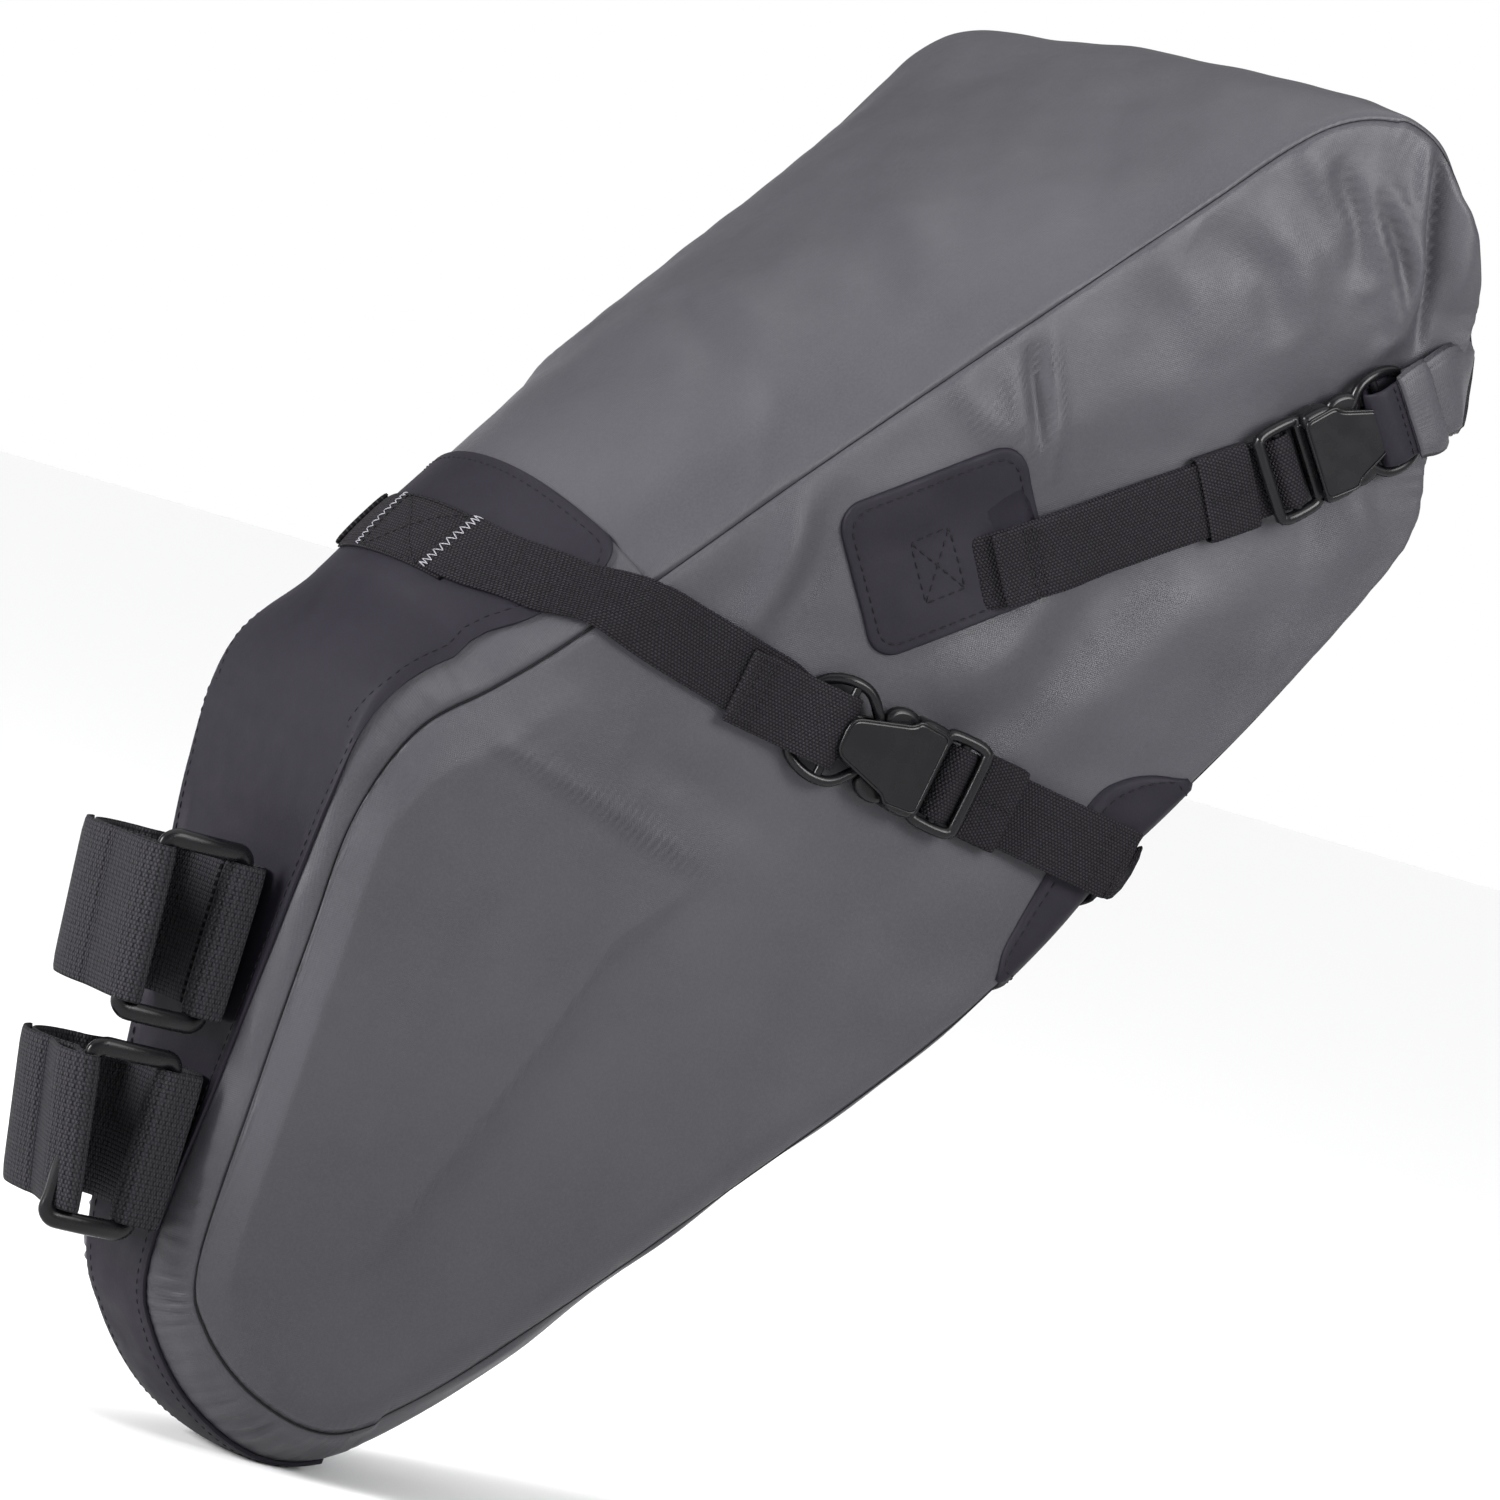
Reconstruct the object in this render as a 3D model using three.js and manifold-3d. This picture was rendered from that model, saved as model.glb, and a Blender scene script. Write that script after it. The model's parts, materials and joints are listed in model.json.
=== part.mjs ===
// Roll-top saddle bag, 20 mm compression webbing, two 40 mm hook-and-loop seatpost straps.
// Millimetres. +Z runs up the seatpost, +X points back to the roll, the left side faces -Y.
// The origin is on the flat seatpost panel, midway between the two strap loops.
import * as THREE from 'three';
import Module from 'manifold-3d';
import { mergeVertices } from 'three/addons/utils/BufferGeometryUtils.js';

const wasm = await Module();
wasm.setup();

// ---------- driving dimensions ----------
const GAP = 0.35;            // clearance kept between neighbouring pieces
const FABRIC = 1.2;          // coated bag fabric with its seam tape
const PANEL = 2.4;           // foam-backed seatpost panel
const WEB = 20;              // compression webbing width
const WEB_T = 1.5;           // compression webbing thickness
const HOOK = 40;             // hook-and-loop strap width
const HOOK_T = 1.8;          // hook-and-loop strap thickness
const POST_X = -21;          // seatpost axis, in front of the panel
const POST_R = 18;           // inside radius of the strap loops
const SIDE_0 = 30;           // half width of the side plane at the origin
const SIDE_X = 0.18;         // half width gained per mm backwards
const SIDE_Z = 0.08;         // half width gained per mm upwards
const DATUM_Z = 7;           // shapes are drawn this far below the shared frame
const BLACK_END = 16.33;     // station where the black saddle panel stops on the top
const NOSE_END = 6.7;        // station where the nose strips stop underneath

// Stations round the side outline: x, z, half width of the centre band, crown, crown at band edge.
const OUTLINE = [
  [265, 208, 66, 10, 7],
  [242, 155, 62, 13, 9],
  [215, 105, 54, 14, 10],
  [186, 50, 46, 13, 10],
  [134, -15, 38, 11, 9],
  [99, -56, 31, 11, 10],
  [76, -80, 24, 12, 11],
  [57, -92, 15, 13, 12],
  [34, -87, 13, 11, 10],
  [15, -73, 12.5, 8, 7.5],
  [7, -56, 15, 7, 7],
  [6, -10, 22, 6, 6],
  [6, 30, 28, 6, 6],
  [6.5, 62, 33, 6.5, 6.5],
  [15, 88, 35, 17, 13],
  [32, 105, 36, 26, 14],
  [50, 125, 40, 30, 14],
  [92, 178, 49, 27, 13],
  [136, 231, 59, 20, 10],
  [172, 274, 67, 12, 6],
  [203, 308, 74, 5, 3],
  [231, 311, 80, 4, 3],
  [254, 283, 83, 8, 6],
  [259, 256, 83, 10, 8],
  [261.5, 232, 76, 10, 8],
];

// ---------- materials ----------
const FINISH = {
  shell: [0x67666e, 0.55, 0],
  black: [0x2b292f, 0.8, 0],
  webbing: [0x252327, 0.9, 0],
  hook: [0x2a292c, 0.95, 0],
  plastic: [0x1d1b1f, 0.45, 0],
  liner: [0x3a3a3d, 0.6, 0],
};

function material(name) {
  const [color, roughness, metalness] = FINISH[name];
  const made = new THREE.MeshStandardMaterial({ color, roughness, metalness });
  made.name = name;
  return made;
}

// ---------- mesh helpers ----------
function geometryFrom(positions, index) {
  const geometry = new THREE.BufferGeometry();
  geometry.setAttribute('position', new THREE.Float32BufferAttribute(positions, 3));
  geometry.setIndex(index);
  return geometry;
}

function signedVolume(geometry) {
  const p = geometry.attributes.position;
  const idx = geometry.index.array;
  const a = new THREE.Vector3();
  const b = new THREE.Vector3();
  const c = new THREE.Vector3();
  let total = 0;
  for (let i = 0; i < idx.length; i += 3) {
    a.fromBufferAttribute(p, idx[i]);
    b.fromBufferAttribute(p, idx[i + 1]);
    c.fromBufferAttribute(p, idx[i + 2]);
    total += a.dot(b.cross(c));
  }
  return total / 6;
}

function facingOut(geometry) {
  if (signedVolume(geometry) < 0) {
    const idx = Array.from(geometry.index.array);
    for (let i = 0; i < idx.length; i += 3) {
      const keep = idx[i + 1];
      idx[i + 1] = idx[i + 2];
      idx[i + 2] = keep;
    }
    geometry.setIndex(idx);
  }
  return geometry;
}

function welded(geometry) {
  const plain = geometry.clone();
  plain.deleteAttribute('normal');
  plain.deleteAttribute('uv');
  return mergeVertices(plain, 1e-4);
}

function mirrored(geometry) {
  const copy = geometry.clone();
  copy.applyMatrix4(new THREE.Matrix4().makeScale(1, -1, 1));
  return facingOut(copy);
}

function toManifold(geometry) {
  const w = welded(geometry);
  return new wasm.Manifold(new wasm.Mesh({
    numProp: 3,
    vertProperties: new Float32Array(w.attributes.position.array),
    triVerts: new Uint32Array(w.index.array),
  }));
}

function fromManifold(solid) {
  const mesh = solid.getMesh();
  return geometryFrom(Array.from(mesh.vertProperties), Array.from(mesh.triVerts));
}

function union(parts) {
  let solid = toManifold(parts[0]);
  for (const part of parts.slice(1)) solid = solid.add(toManifold(part));
  return fromManifold(solid);
}

// A closed sheet between two faces given on the same grid.
function sheet(outer, inner, nu, nv) {
  const positions = [];
  const index = [];
  const row = nv + 1;
  const half = (nu + 1) * row;
  for (const face of [outer, inner]) {
    for (let i = 0; i <= nu; i += 1) {
      for (let j = 0; j <= nv; j += 1) {
        positions.push(...face(i / nu, j / nv));
      }
    }
  }
  const quad = (a, b, c, d) => index.push(a, b, c, a, c, d);
  for (let i = 0; i < nu; i += 1) {
    for (let j = 0; j < nv; j += 1) {
      const a = i * row + j;
      quad(a, a + row, a + row + 1, a + 1);
      quad(half + a, half + a + 1, half + a + row + 1, half + a + row);
    }
  }
  const wall = (a, b) => quad(a, b, half + b, half + a);
  for (let j = 0; j < nv; j += 1) {
    wall(j, j + 1);
    wall(nu * row + j + 1, nu * row + j);
  }
  for (let i = 0; i < nu; i += 1) {
    wall((i + 1) * row, i * row);
    wall(i * row + nv, (i + 1) * row + nv);
  }
  return facingOut(geometryFrom(positions, index));
}

// A flat strap swept through points; across is its width direction at each point.
function ribbon(points, across, width, thick) {
  const positions = [];
  const index = [];
  const n = points.length;
  const widths = Array.isArray(width) ? width : points.map(() => width);
  const depths = Array.isArray(thick) ? thick : points.map(() => thick);
  for (let i = 0; i < n; i += 1) {
    const before = points[Math.max(i - 1, 0)];
    const after = points[Math.min(i + 1, n - 1)];
    const along = after.clone().sub(before).normalize();
    const wide = across[i].clone().addScaledVector(along, -across[i].dot(along)).normalize();
    const deep = new THREE.Vector3().crossVectors(wide, along).normalize();
    for (const [s, t] of [[-1, -1], [1, -1], [1, 1], [-1, 1]]) {
      const corner = points[i].clone();
      corner.addScaledVector(wide, s * widths[i] / 2).addScaledVector(deep, t * depths[i] / 2);
      positions.push(corner.x, corner.y, corner.z);
    }
  }
  for (let i = 0; i < n - 1; i += 1) {
    for (let k = 0; k < 4; k += 1) {
      const a = 4 * i + k;
      const b = 4 * i + (k + 1) % 4;
      index.push(a, b, b + 4, a, b + 4, a + 4);
    }
  }
  index.push(0, 2, 1, 0, 3, 2);
  const m = 4 * (n - 1);
  index.push(m, m + 1, m + 2, m, m + 2, m + 3);
  return facingOut(geometryFrom(positions, index));
}

function polygon(points) {
  return new THREE.Shape(points.map(([x, y]) => new THREE.Vector2(x, y)));
}

function roundedRect(x0, y0, x1, y1, r, steps = 3) {
  const points = [];
  const corners = [[x1 - r, y0 + r, -90], [x1 - r, y1 - r, 0], [x0 + r, y1 - r, 90], [x0 + r, y0 + r, 180]];
  for (const [cx, cy, start] of corners) {
    for (let k = 0; k <= steps; k += 1) {
      const a = THREE.MathUtils.degToRad(start + 90 * k / steps);
      points.push([cx + r * Math.cos(a), cy + r * Math.sin(a)]);
    }
  }
  return points;
}

function plate(points, z0, z1, holes = []) {
  const shape = polygon(points);
  shape.holes = holes.map((hole) => polygon(hole));
  const made = new THREE.ExtrudeGeometry(shape, { depth: z1 - z0, bevelEnabled: false });
  made.translate(0, 0, z0);
  return facingOut(welded(made));
}

// ---------- bag body ----------
function station(u) {
  const n = OUTLINE.length;
  const i = Math.floor(u);
  const f = u - i;
  const rows = [-1, 0, 1, 2].map((k) => OUTLINE[(i + k + 2 * n) % n]);
  return OUTLINE[0].map((_, c) => {
    const [a, b, d, e] = rows.map((r) => r[c]);
    return b + 0.5 * f * (d - a + f * (2 * a - 5 * b + 4 * d - e + f * (3 * (b - d) + e - a)));
  });
}

function sideHalf(x, z) {
  return SIDE_0 + SIDE_X * x + SIDE_Z * z;
}

function outward(u) {
  const before = station(u - 0.05);
  const after = station(u + 0.05);
  const tx = after[0] - before[0];
  const tz = after[1] - before[1];
  const len = Math.hypot(tx, tz);
  return [-tz / len, tx / len];
}

// Seam point at station u; lift moves the whole body skin outwards.
function seam(u, lift) {
  const [x, z] = station(u);
  const [nx, nz] = outward(u);
  const half = sideHalf(x, z) + lift;
  return [x + nx * lift, half, z + nz * lift];
}

// Point across the band: q = 0 centre, 1 band edge, 2 side seam.
function band(u, q, lift) {
  const [, , edge, crown, crownEdge] = station(u);
  const [nx, nz] = outward(u);
  const [x, half, z] = seam(u, lift);
  const a = Math.abs(q);
  const s = Math.sign(q) || 1;
  const e = edge + 0.5 * lift;
  if (a <= 1) {
    const rise = crown - (crown - crownEdge) * a ** 2.2;
    return [x + nx * rise, s * a * e, z + nz * rise];
  }
  const r = a - 1;
  const rise = crownEdge * (1 - r);
  return [x + nx * rise, s * (e + (half - e) * r), z + nz * rise];
}

function bandPanel(u0, u1, q0, q1, nu, nv, lift = 0, thick = FABRIC) {
  const face = (depth) => (a, b) => band(u0 + (u1 - u0) * a, q0 + (q1 - q0) * b, lift - depth);
  return sheet(face(0), face(thick), nu, nv);
}

// Side panel between the upper run (station 13 on) and the lower run (station 10 back).
function sidePoint(k, v, lift) {
  const top = seam(13 + k, lift);
  const low = seam(10 - k, lift);
  const x = top[0] + (low[0] - top[0]) * v;
  const z = top[2] + (low[2] - top[2]) * v;
  return [x, -(sideHalf(x, z) + lift), z];
}

function sidePanel() {
  const face = (lift) => (a, b) => sidePoint(10 * a, 0.006 + 0.988 * b, lift);
  return sheet(face(0), face(-FABRIC), 20, 3);
}

function sideStiffener() {
  const face = (lift) => (a, b) => sidePoint(0.9 + 3.7 * a, 0.13 + 0.74 * b, lift);
  return sheet(face(-FABRIC - GAP), face(-FABRIC - GAP - 1.2), 6, 2);
}

// Frame lying on the left side plane: columns are along, across and outwards.
function sideFrame(x, z, degrees, lift) {
  const a = THREE.MathUtils.degToRad(degrees);
  const n = new THREE.Vector3(-SIDE_X, -1, -SIDE_Z).normalize();
  const e1 = new THREE.Vector3(Math.cos(a), -(SIDE_X * Math.cos(a) + SIDE_Z * Math.sin(a)), Math.sin(a));
  e1.normalize();
  const e2 = new THREE.Vector3().crossVectors(n, e1);
  const at = new THREE.Vector3(x, -sideHalf(x, z), z).addScaledVector(n, lift);
  return new THREE.Matrix4().makeBasis(e1, e2, n).setPosition(at);
}

// ---------- seatpost panel and loops ----------
const PANEL_ROWS = [-55.4, -9.2, -4.8, 61.4];      // the middle row is the bare strip between the loops

function seatpostPanel() {
  const face = (x) => (a, b) => {
    const z = PANEL_ROWS[Math.round(3 * a)];
    const half = 14 + 17.4 * (z - PANEL_ROWS[0]) / (PANEL_ROWS[3] - PANEL_ROWS[0]);
    return [x, half * (2 * b - 1), z];
  };
  return sheet(face(0), face(PANEL), 3, 1);
}

function flatLoop(path, z0, z1, thick) {
  const points = path.map(([x, y]) => new THREE.Vector3(x, y, (z0 + z1) / 2));
  const across = path.map(() => new THREE.Vector3(0, 0, 1));
  return ribbon(points, across, z1 - z0, thick);
}

function arc(cx, cy, r, from, to, steps) {
  const points = [];
  for (let k = 0; k <= steps; k += 1) {
    const a = THREE.MathUtils.degToRad(from + (to - from) * k / steps);
    points.push([cx + r * Math.cos(a), cy + r * Math.sin(a)]);
  }
  return points;
}

const LOOP_R = POST_R + HOOK_T / 2;
const RING_Y = -21.5;
const RING_FRONT = -37;
const RING_BACK = -9;

function seatpostStrap(z0) {
  const foot = [[-1.3, 4], [-1.3, 17]];
  const bend = arc(-4.3, 17, 3, 0, 90, 3).slice(1);
  const round = arc(POST_X, 0, LOOP_R + 0.1, 80, 232, 12).map(([x, y]) => [x, y]);
  const bar = [[-30.6, -18.2], [-29.6, -21.4], [-31.2, -24.6]];
  return flatLoop([...foot, ...bend, ...round, ...bar], z0, z0 + HOOK, HOOK_T);
}

function seatpostTail(z0) {
  const start = [[-33, -24.9], [-37, -24.7], [-40.2, -21.8]];
  const round = arc(POST_X, 0, LOOP_R + HOOK_T + GAP + 0.9, 222, 132, 8);
  return flatLoop([...start, ...round], z0, z0 + HOOK, HOOK_T);
}

function seatpostRing(z0) {
  const outer = roundedRect(RING_FRONT, z0 - 4.5, RING_BACK, z0 + HOOK + 4.5, 4);
  const inner = roundedRect(RING_FRONT + 3.4, z0 - 1, RING_BACK - 3.4, z0 + HOOK + 1, 1.5);
  const made = plate(outer, -1.5, 1.5, [inner]);
  made.rotateX(Math.PI / 2);
  made.translate(0, RING_Y, 0);
  return facingOut(made);
}

function seatpostTab(z0) {
  const foot = [[-1.3, -5], [-1.3, -16]];
  const run = [[-2.6, -18], [-6, -18.7], [-12.4, -18.7], [-14.9, -19.5]];
  const turn = [[-15.9, -21.5], [-14.9, -23.6]];
  const back = [[-12.4, -24.4], [-7, -24.4]];
  return flatLoop([...foot, ...run, ...turn, ...back], z0, z0 + HOOK, HOOK_T);
}

// ---------- webbing on the bag ----------
const LAYER_1 = 1.35;                                 // strap lying on the fabric
const LAYER_2 = LAYER_1 + WEB_T + GAP;                // tail lying on the strap
const OVER_PATCH = LAYER_1 + FABRIC;                  // strap lying on a patch
const SADDLE_BUCKLE = sideFrame(121.6, 118, -8, GAP);
const SADDLE_RUN = sideFrame(121.6, 118, -17, GAP);
const TOP_BUCKLE = sideFrame(247, 240.4, 221, GAP);
const TOP_RUN = sideFrame(213, 211, 214, GAP);

function framePoint(frame, a, c) {
  return new THREE.Vector3(a, 0, c).applyMatrix4(frame);
}

function frameAcross(frame) {
  return new THREE.Vector3(0, 1, 0).transformDirection(frame);
}

// Strap through [frame, along, lift] steps.
function frameStrap(steps, width = WEB, thick = WEB_T) {
  const points = steps.map(([frame, a, c]) => framePoint(frame, a, c));
  const across = steps.map(([frame]) => frameAcross(frame));
  return ribbon(points, across, width, thick);
}

function bandVector(u, q, lift) {
  return new THREE.Vector3(...band(u, q, lift));
}

function strapStation(q) {
  return 15.72 + 0.45 * (Math.abs(q) / 2) ** 1.5;
}

// The saddle strap starts beside the centre, crosses the side seam and ends round the buckle bar.
function saddleStrap() {
  const points = [];
  const across = [];
  for (const q of [-0.42, -0.7, -0.95, -1.4, -1.8]) {
    const u = strapStation(q);
    const lift = q > -1 ? 3.8 : 3;
    points.push(bandVector(u, q, lift));
    across.push(bandVector(u + 0.05, q, lift).sub(bandVector(u - 0.05, q, lift)));
  }
  const steps = [[SADDLE_RUN, -55, 3], [SADDLE_RUN, -40, LAYER_1], [SADDLE_BUCKLE, -14, LAYER_1]];
  const turn = [[-4.6, 1.35], [-3.2, 2.7], [-3.2, 5.4], [-4.6, 6.8], [-9.5, 6.8], [-13, 3.8], [-24, LAYER_2]];
  steps.push(...turn.map(([a, c]) => [SADDLE_BUCKLE, a, c]));
  for (const [frame, a, c] of steps) {
    points.push(framePoint(frame, a, c));
    across.push(frameAcross(frame));
  }
  return ribbon(points, across, WEB, WEB_T);
}

function saddleAnchor() {
  const points = [];
  const across = [];
  for (const q of [-0.8, -0.5, -0.2, 0.2, 0.5, 0.8]) {
    const u = strapStation(q);
    points.push(bandVector(u, q, 0.6 + GAP + WEB_T / 2));
    across.push(bandVector(u + 0.05, q, 0).sub(bandVector(u - 0.05, q, 0)));
  }
  return ribbon(points, across, WEB + 2, WEB_T);
}

// Lower strap: flat on the side, over the bottom corner, sewn to the patch underneath.
function lowerStrap() {
  const steps = [[33, LAYER_1], [64, LAYER_1], [72, OVER_PATCH + 0.4], [88, OVER_PATCH + 0.4]];
  const points = steps.map(([a, c]) => framePoint(SADDLE_BUCKLE, a, c));
  const across = steps.map(() => frameAcross(SADDLE_BUCKLE));
  for (const q of [-2, -1.8, -1.4, -1, -0.55, -0.12]) {
    points.push(bandVector(2, q, 3.2));
    across.push(bandVector(1.95, q, 0).sub(bandVector(2.05, q, 0)));
  }
  return ribbon(points, across, WEB, WEB_T);
}

function tailSteps(frame) {
  const steps = [[33.7, 2.8], [33.7, 5.9], [35.1, 7.4], [37.4, 7.4], [39, 6.9], [39.9, 5.6], [40, 4.4], [41, 3.4], [43, LAYER_2 + 0.1]];
  return steps.map(([a, c]) => [frame, a, c]);
}

function lowerTail() {
  const rest = [[50, LAYER_2 + 0.1], [64, LAYER_2 + 0.1], [72, LAYER_2 + 1.8], [86, LAYER_2 + 1.8]];
  return frameStrap([...tailSteps(SADDLE_BUCKLE), ...rest.map(([a, c]) => [SADDLE_BUCKLE, a, c])]);
}

// Side strap from the ladder bar to the slit in its patch.
function sideStrap() {
  return frameStrap([
    [TOP_BUCKLE, 33, LAYER_1],
    [TOP_BUCKLE, 46, LAYER_1],
    [TOP_RUN, 10, LAYER_1],
    [TOP_RUN, 34, LAYER_1],
    [TOP_RUN, 43, OVER_PATCH + 0.2],
    [TOP_RUN, 84, OVER_PATCH + 0.2],
  ]);
}

function sideTail() {
  return frameStrap([
    ...tailSteps(TOP_BUCKLE),
    [TOP_RUN, 10, LAYER_2 + 0.1],
    [TOP_RUN, 34, LAYER_2 + 0.1],
    [TOP_RUN, 43, LAYER_2 + 1.6],
    [TOP_RUN, 77, LAYER_2 + 1.6],
  ]);
}

// Elastic keeper loop round a strap and its tail.
function keeper(frame, at, length) {
  const outer = roundedRect(-11.8, 0, 11.8, 5.7, 0.9, 2);
  const inner = roundedRect(-10.6, 0.3, 10.6, 4.6, 0.25, 1);
  const made = plate(outer, 0, length, [inner]);
  made.applyMatrix4(new THREE.Matrix4().makeBasis(
    new THREE.Vector3(0, 1, 0), new THREE.Vector3(0, 0, 1), new THREE.Vector3(1, 0, 0)));
  made.translate(at, 0, 0);
  made.applyMatrix4(frame);
  return facingOut(made);
}

function sidePatch() {
  const made = plate(roundedRect(-27, -21.5, 27, 21.5, 7, 4), 0, FABRIC);
  made.applyMatrix4(sideFrame(136.5, 170, 37, GAP));
  return facingOut(made);
}

function bottomPatch() {
  const face = (lift) => (a, b) => {
    const u = 1.55 + 1.1 * a;
    const c = Math.abs(b - 0.5) * 2;
    const s = b < 0.5 ? -1 : 1;
    if (c <= 0.8001) return band(u, s * c / 0.4, lift);
    const [x, y, z] = sidePoint(10 - u, 1 - 0.11 * (c - 0.8) / 0.2, lift);
    return [x, -s * y, z];
  };
  return sheet(face(GAP + FABRIC), face(GAP), 4, 20);
}

// ---------- buckles, drawn in the frame of their strap ----------
function femaleBody() {
  const face = [[1, -9.5], [27, -13.5], [27, 13.5], [1, 9.5]];
  return [plate(face, 6.6, 8.3), plate(face, 0.3, 1.9), plate(roundedRect(3.6, -9.4, 9, 9.4, 1.5), 0.8, 7.8)];
}

function ringFemale(frame) {
  const bar = plate(roundedRect(-8.2, -13, 5, 13, 4), 2.45, 5.6, [roundedRect(-5.1, -10.6, -0.4, 10.6, 1)]);
  return facingOut(union([bar, ...femaleBody()]).applyMatrix4(frame));
}

function slotFemale(frame) {
  const bar = plate(roundedRect(-2.4, -12.6, 7.5, 12.6, 2), 2.45, 5.6, [roundedRect(0.6, -10.6, 3.5, 10.6, 0.8)]);
  return facingOut(union([bar, ...femaleBody().map((g) => g.translate(1.6, 0, 0))]).applyMatrix4(frame));
}

function maleHalf(frame) {
  const ladder = plate(roundedRect(29.6, -13, 38.4, 13, 1.2), 2.45, 6, [roundedRect(32.2, -10.6, 35.2, 10.6, 0.6)]);
  const rails = [-1, 1].map((s) => plate([[38, 10.7 * s], [43, 10.7 * s], [43, 13 * s], [38, 13 * s]], 2.45, 6.8));
  const end = plate(roundedRect(41.4, -13, 44.2, 13, 1.2), 4.3, 6.8);
  const tongue = plate(roundedRect(13, -1.6, 31, 1.6, 0.8), 3.2, 5.2);
  return facingOut(union([ladder, ...rails, end, tongue]).applyMatrix4(frame));
}

function latchArm(frame, s) {
  const outline = [[29.2, 5], [29.2, 9.6], [24, 10.6], [22.6, 13.6], [20.6, 13.6], [15.5, 10.6], [13.6, 8], [13.6, 5.6]];
  const made = plate(outline.map(([a, b]) => [a, s * b]), 2.4, 6.1);
  return facingOut(made.applyMatrix4(frame));
}

// ---------- roll closure ----------
const ROLL_UPRIGHT = new THREE.Vector3(-0.1, 0, 0.995);

function rollClosure() {
  const points = [-87.6, -70, -35, 35, 70, 87.6].map((y) => {
    return new THREE.Vector3(278.4 - 7 * (y / 87) ** 4, y, 251 + 0.8 * (y / 87) ** 2);
  });
  return ribbon(points, points.map(() => ROLL_UPRIGHT), 26, [9, 11, 12, 12, 11, 9]);
}

// End of the roll folded round the rear corner onto the side.
function rollWing() {
  const points = [[-7.2, 4.2], [-14, 5.6]].map(([a, c]) => framePoint(TOP_BUCKLE, a, c));
  points.push(new THREE.Vector3(263, -101.5, 252.5));
  points.push(new THREE.Vector3(269.8, -95, 252));
  points.push(new THREE.Vector3(271, -89.2, 252));
  const tilt = frameAcross(TOP_BUCKLE).negate();
  const across = [0, 0.2, 0.7, 1, 1].map((f) => tilt.clone().lerp(ROLL_UPRIGHT, f));
  return ribbon(points, across, [21, 23, 25, 26, 26], [6.6, 7, 7.5, 8.4, 9]);
}

function rollTab() {
  const path = [[-6.6, 1.35], [1.1, 1.35], [2.3, 2.7], [2.3, 5.6], [1.1, 6.9], [-4, 7.1], [-7.2, 9.4], [-12, 11]];
  return frameStrap(path.map(([a, c]) => [TOP_BUCKLE, a, c]));
}

// ---------- assembly ----------
const bag = new THREE.Group();
bag.name = 'saddle_bag';

function add(name, geometry, finish) {
  const placed = welded(geometry).translate(0, 0, DATUM_Z);
  const mesh = new THREE.Mesh(placed, material(finish));
  mesh.name = name;
  mesh.geometry.computeVertexNormals();
  bag.add(mesh);
}

function addPair(name, geometry, finish) {
  add(`${name}_left`, geometry, finish);
  add(`${name}_right`, mirrored(geometry), finish);
}

add('seatpost_panel', seatpostPanel(), 'black');
add('saddle_panel', bandPanel(13.02, BLACK_END - 0.01, -0.99, 0.99, 8, 8), 'black');
add('nose_bottom_panel', bandPanel(NOSE_END + 0.01, 9.98, -0.99, 0.99, 8, 4), 'black');
addPair('nose_strip', bandPanel(NOSE_END + 0.01, BLACK_END - 0.01, -1.96, -1.04, 26, 1), 'shell');
addPair('side_panel', sidePanel(), 'shell');
addPair('nose_stiffener', sideStiffener(), 'liner');
add('top_panel', bandPanel(BLACK_END, 20.98, -1.975, 1.975, 9, 12), 'shell');
add('rear_flap', bandPanel(21, 23.42, -1.975, 1.975, 5, 12), 'shell');
add('rear_panel', bandPanel(23.45, 24.97, -1.975, 1.975, 3, 12), 'black');
add('bottom_panel', bandPanel(0, NOSE_END, -1.975, 1.975, 12, 12), 'shell');
add('bottom_patch', bottomPatch(), 'black');
addPair('side_patch', sidePatch(), 'black');

add('seatpost_strap_upper', seatpostStrap(0), 'hook');
add('seatpost_tail_upper', seatpostTail(0), 'hook');
add('seatpost_ring_upper', seatpostRing(0), 'plastic');
add('seatpost_tab_upper', seatpostTab(0), 'hook');
add('seatpost_strap_lower', seatpostStrap(-54), 'hook');
add('seatpost_tail_lower', seatpostTail(-54), 'hook');
add('seatpost_ring_lower', seatpostRing(-54), 'plastic');
add('seatpost_tab_lower', seatpostTab(-54), 'hook');

add('saddle_anchor', saddleAnchor(), 'webbing');
addPair('saddle_strap', saddleStrap(), 'webbing');
addPair('lower_strap', lowerStrap(), 'webbing');
addPair('lower_tail', lowerTail(), 'webbing');
addPair('lower_keeper', keeper(SADDLE_BUCKLE, 45.2, 13), 'webbing');
addPair('side_strap', sideStrap(), 'webbing');
addPair('side_tail', sideTail(), 'webbing');
addPair('side_keeper', keeper(TOP_RUN, 1.5, 14), 'webbing');

addPair('saddle_female', ringFemale(SADDLE_BUCKLE), 'plastic');
addPair('saddle_male', maleHalf(SADDLE_BUCKLE), 'plastic');
addPair('saddle_latch_a', latchArm(SADDLE_BUCKLE, 1), 'plastic');
addPair('saddle_latch_b', latchArm(SADDLE_BUCKLE, -1), 'plastic');
addPair('side_female', slotFemale(TOP_BUCKLE), 'plastic');
addPair('side_male', maleHalf(TOP_BUCKLE), 'plastic');
addPair('side_latch_a', latchArm(TOP_BUCKLE, 1), 'plastic');
addPair('side_latch_b', latchArm(TOP_BUCKLE, -1), 'plastic');

add('roll_closure', rollClosure(), 'shell');
addPair('roll_wing', rollWing(), 'shell');
addPair('roll_tab', rollTab(), 'webbing');

export default bag;
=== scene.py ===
import json
import math

import bpy
import numpy as np
from mathutils import Matrix, Vector
from mathutils.bvhtree import BVHTree

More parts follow.
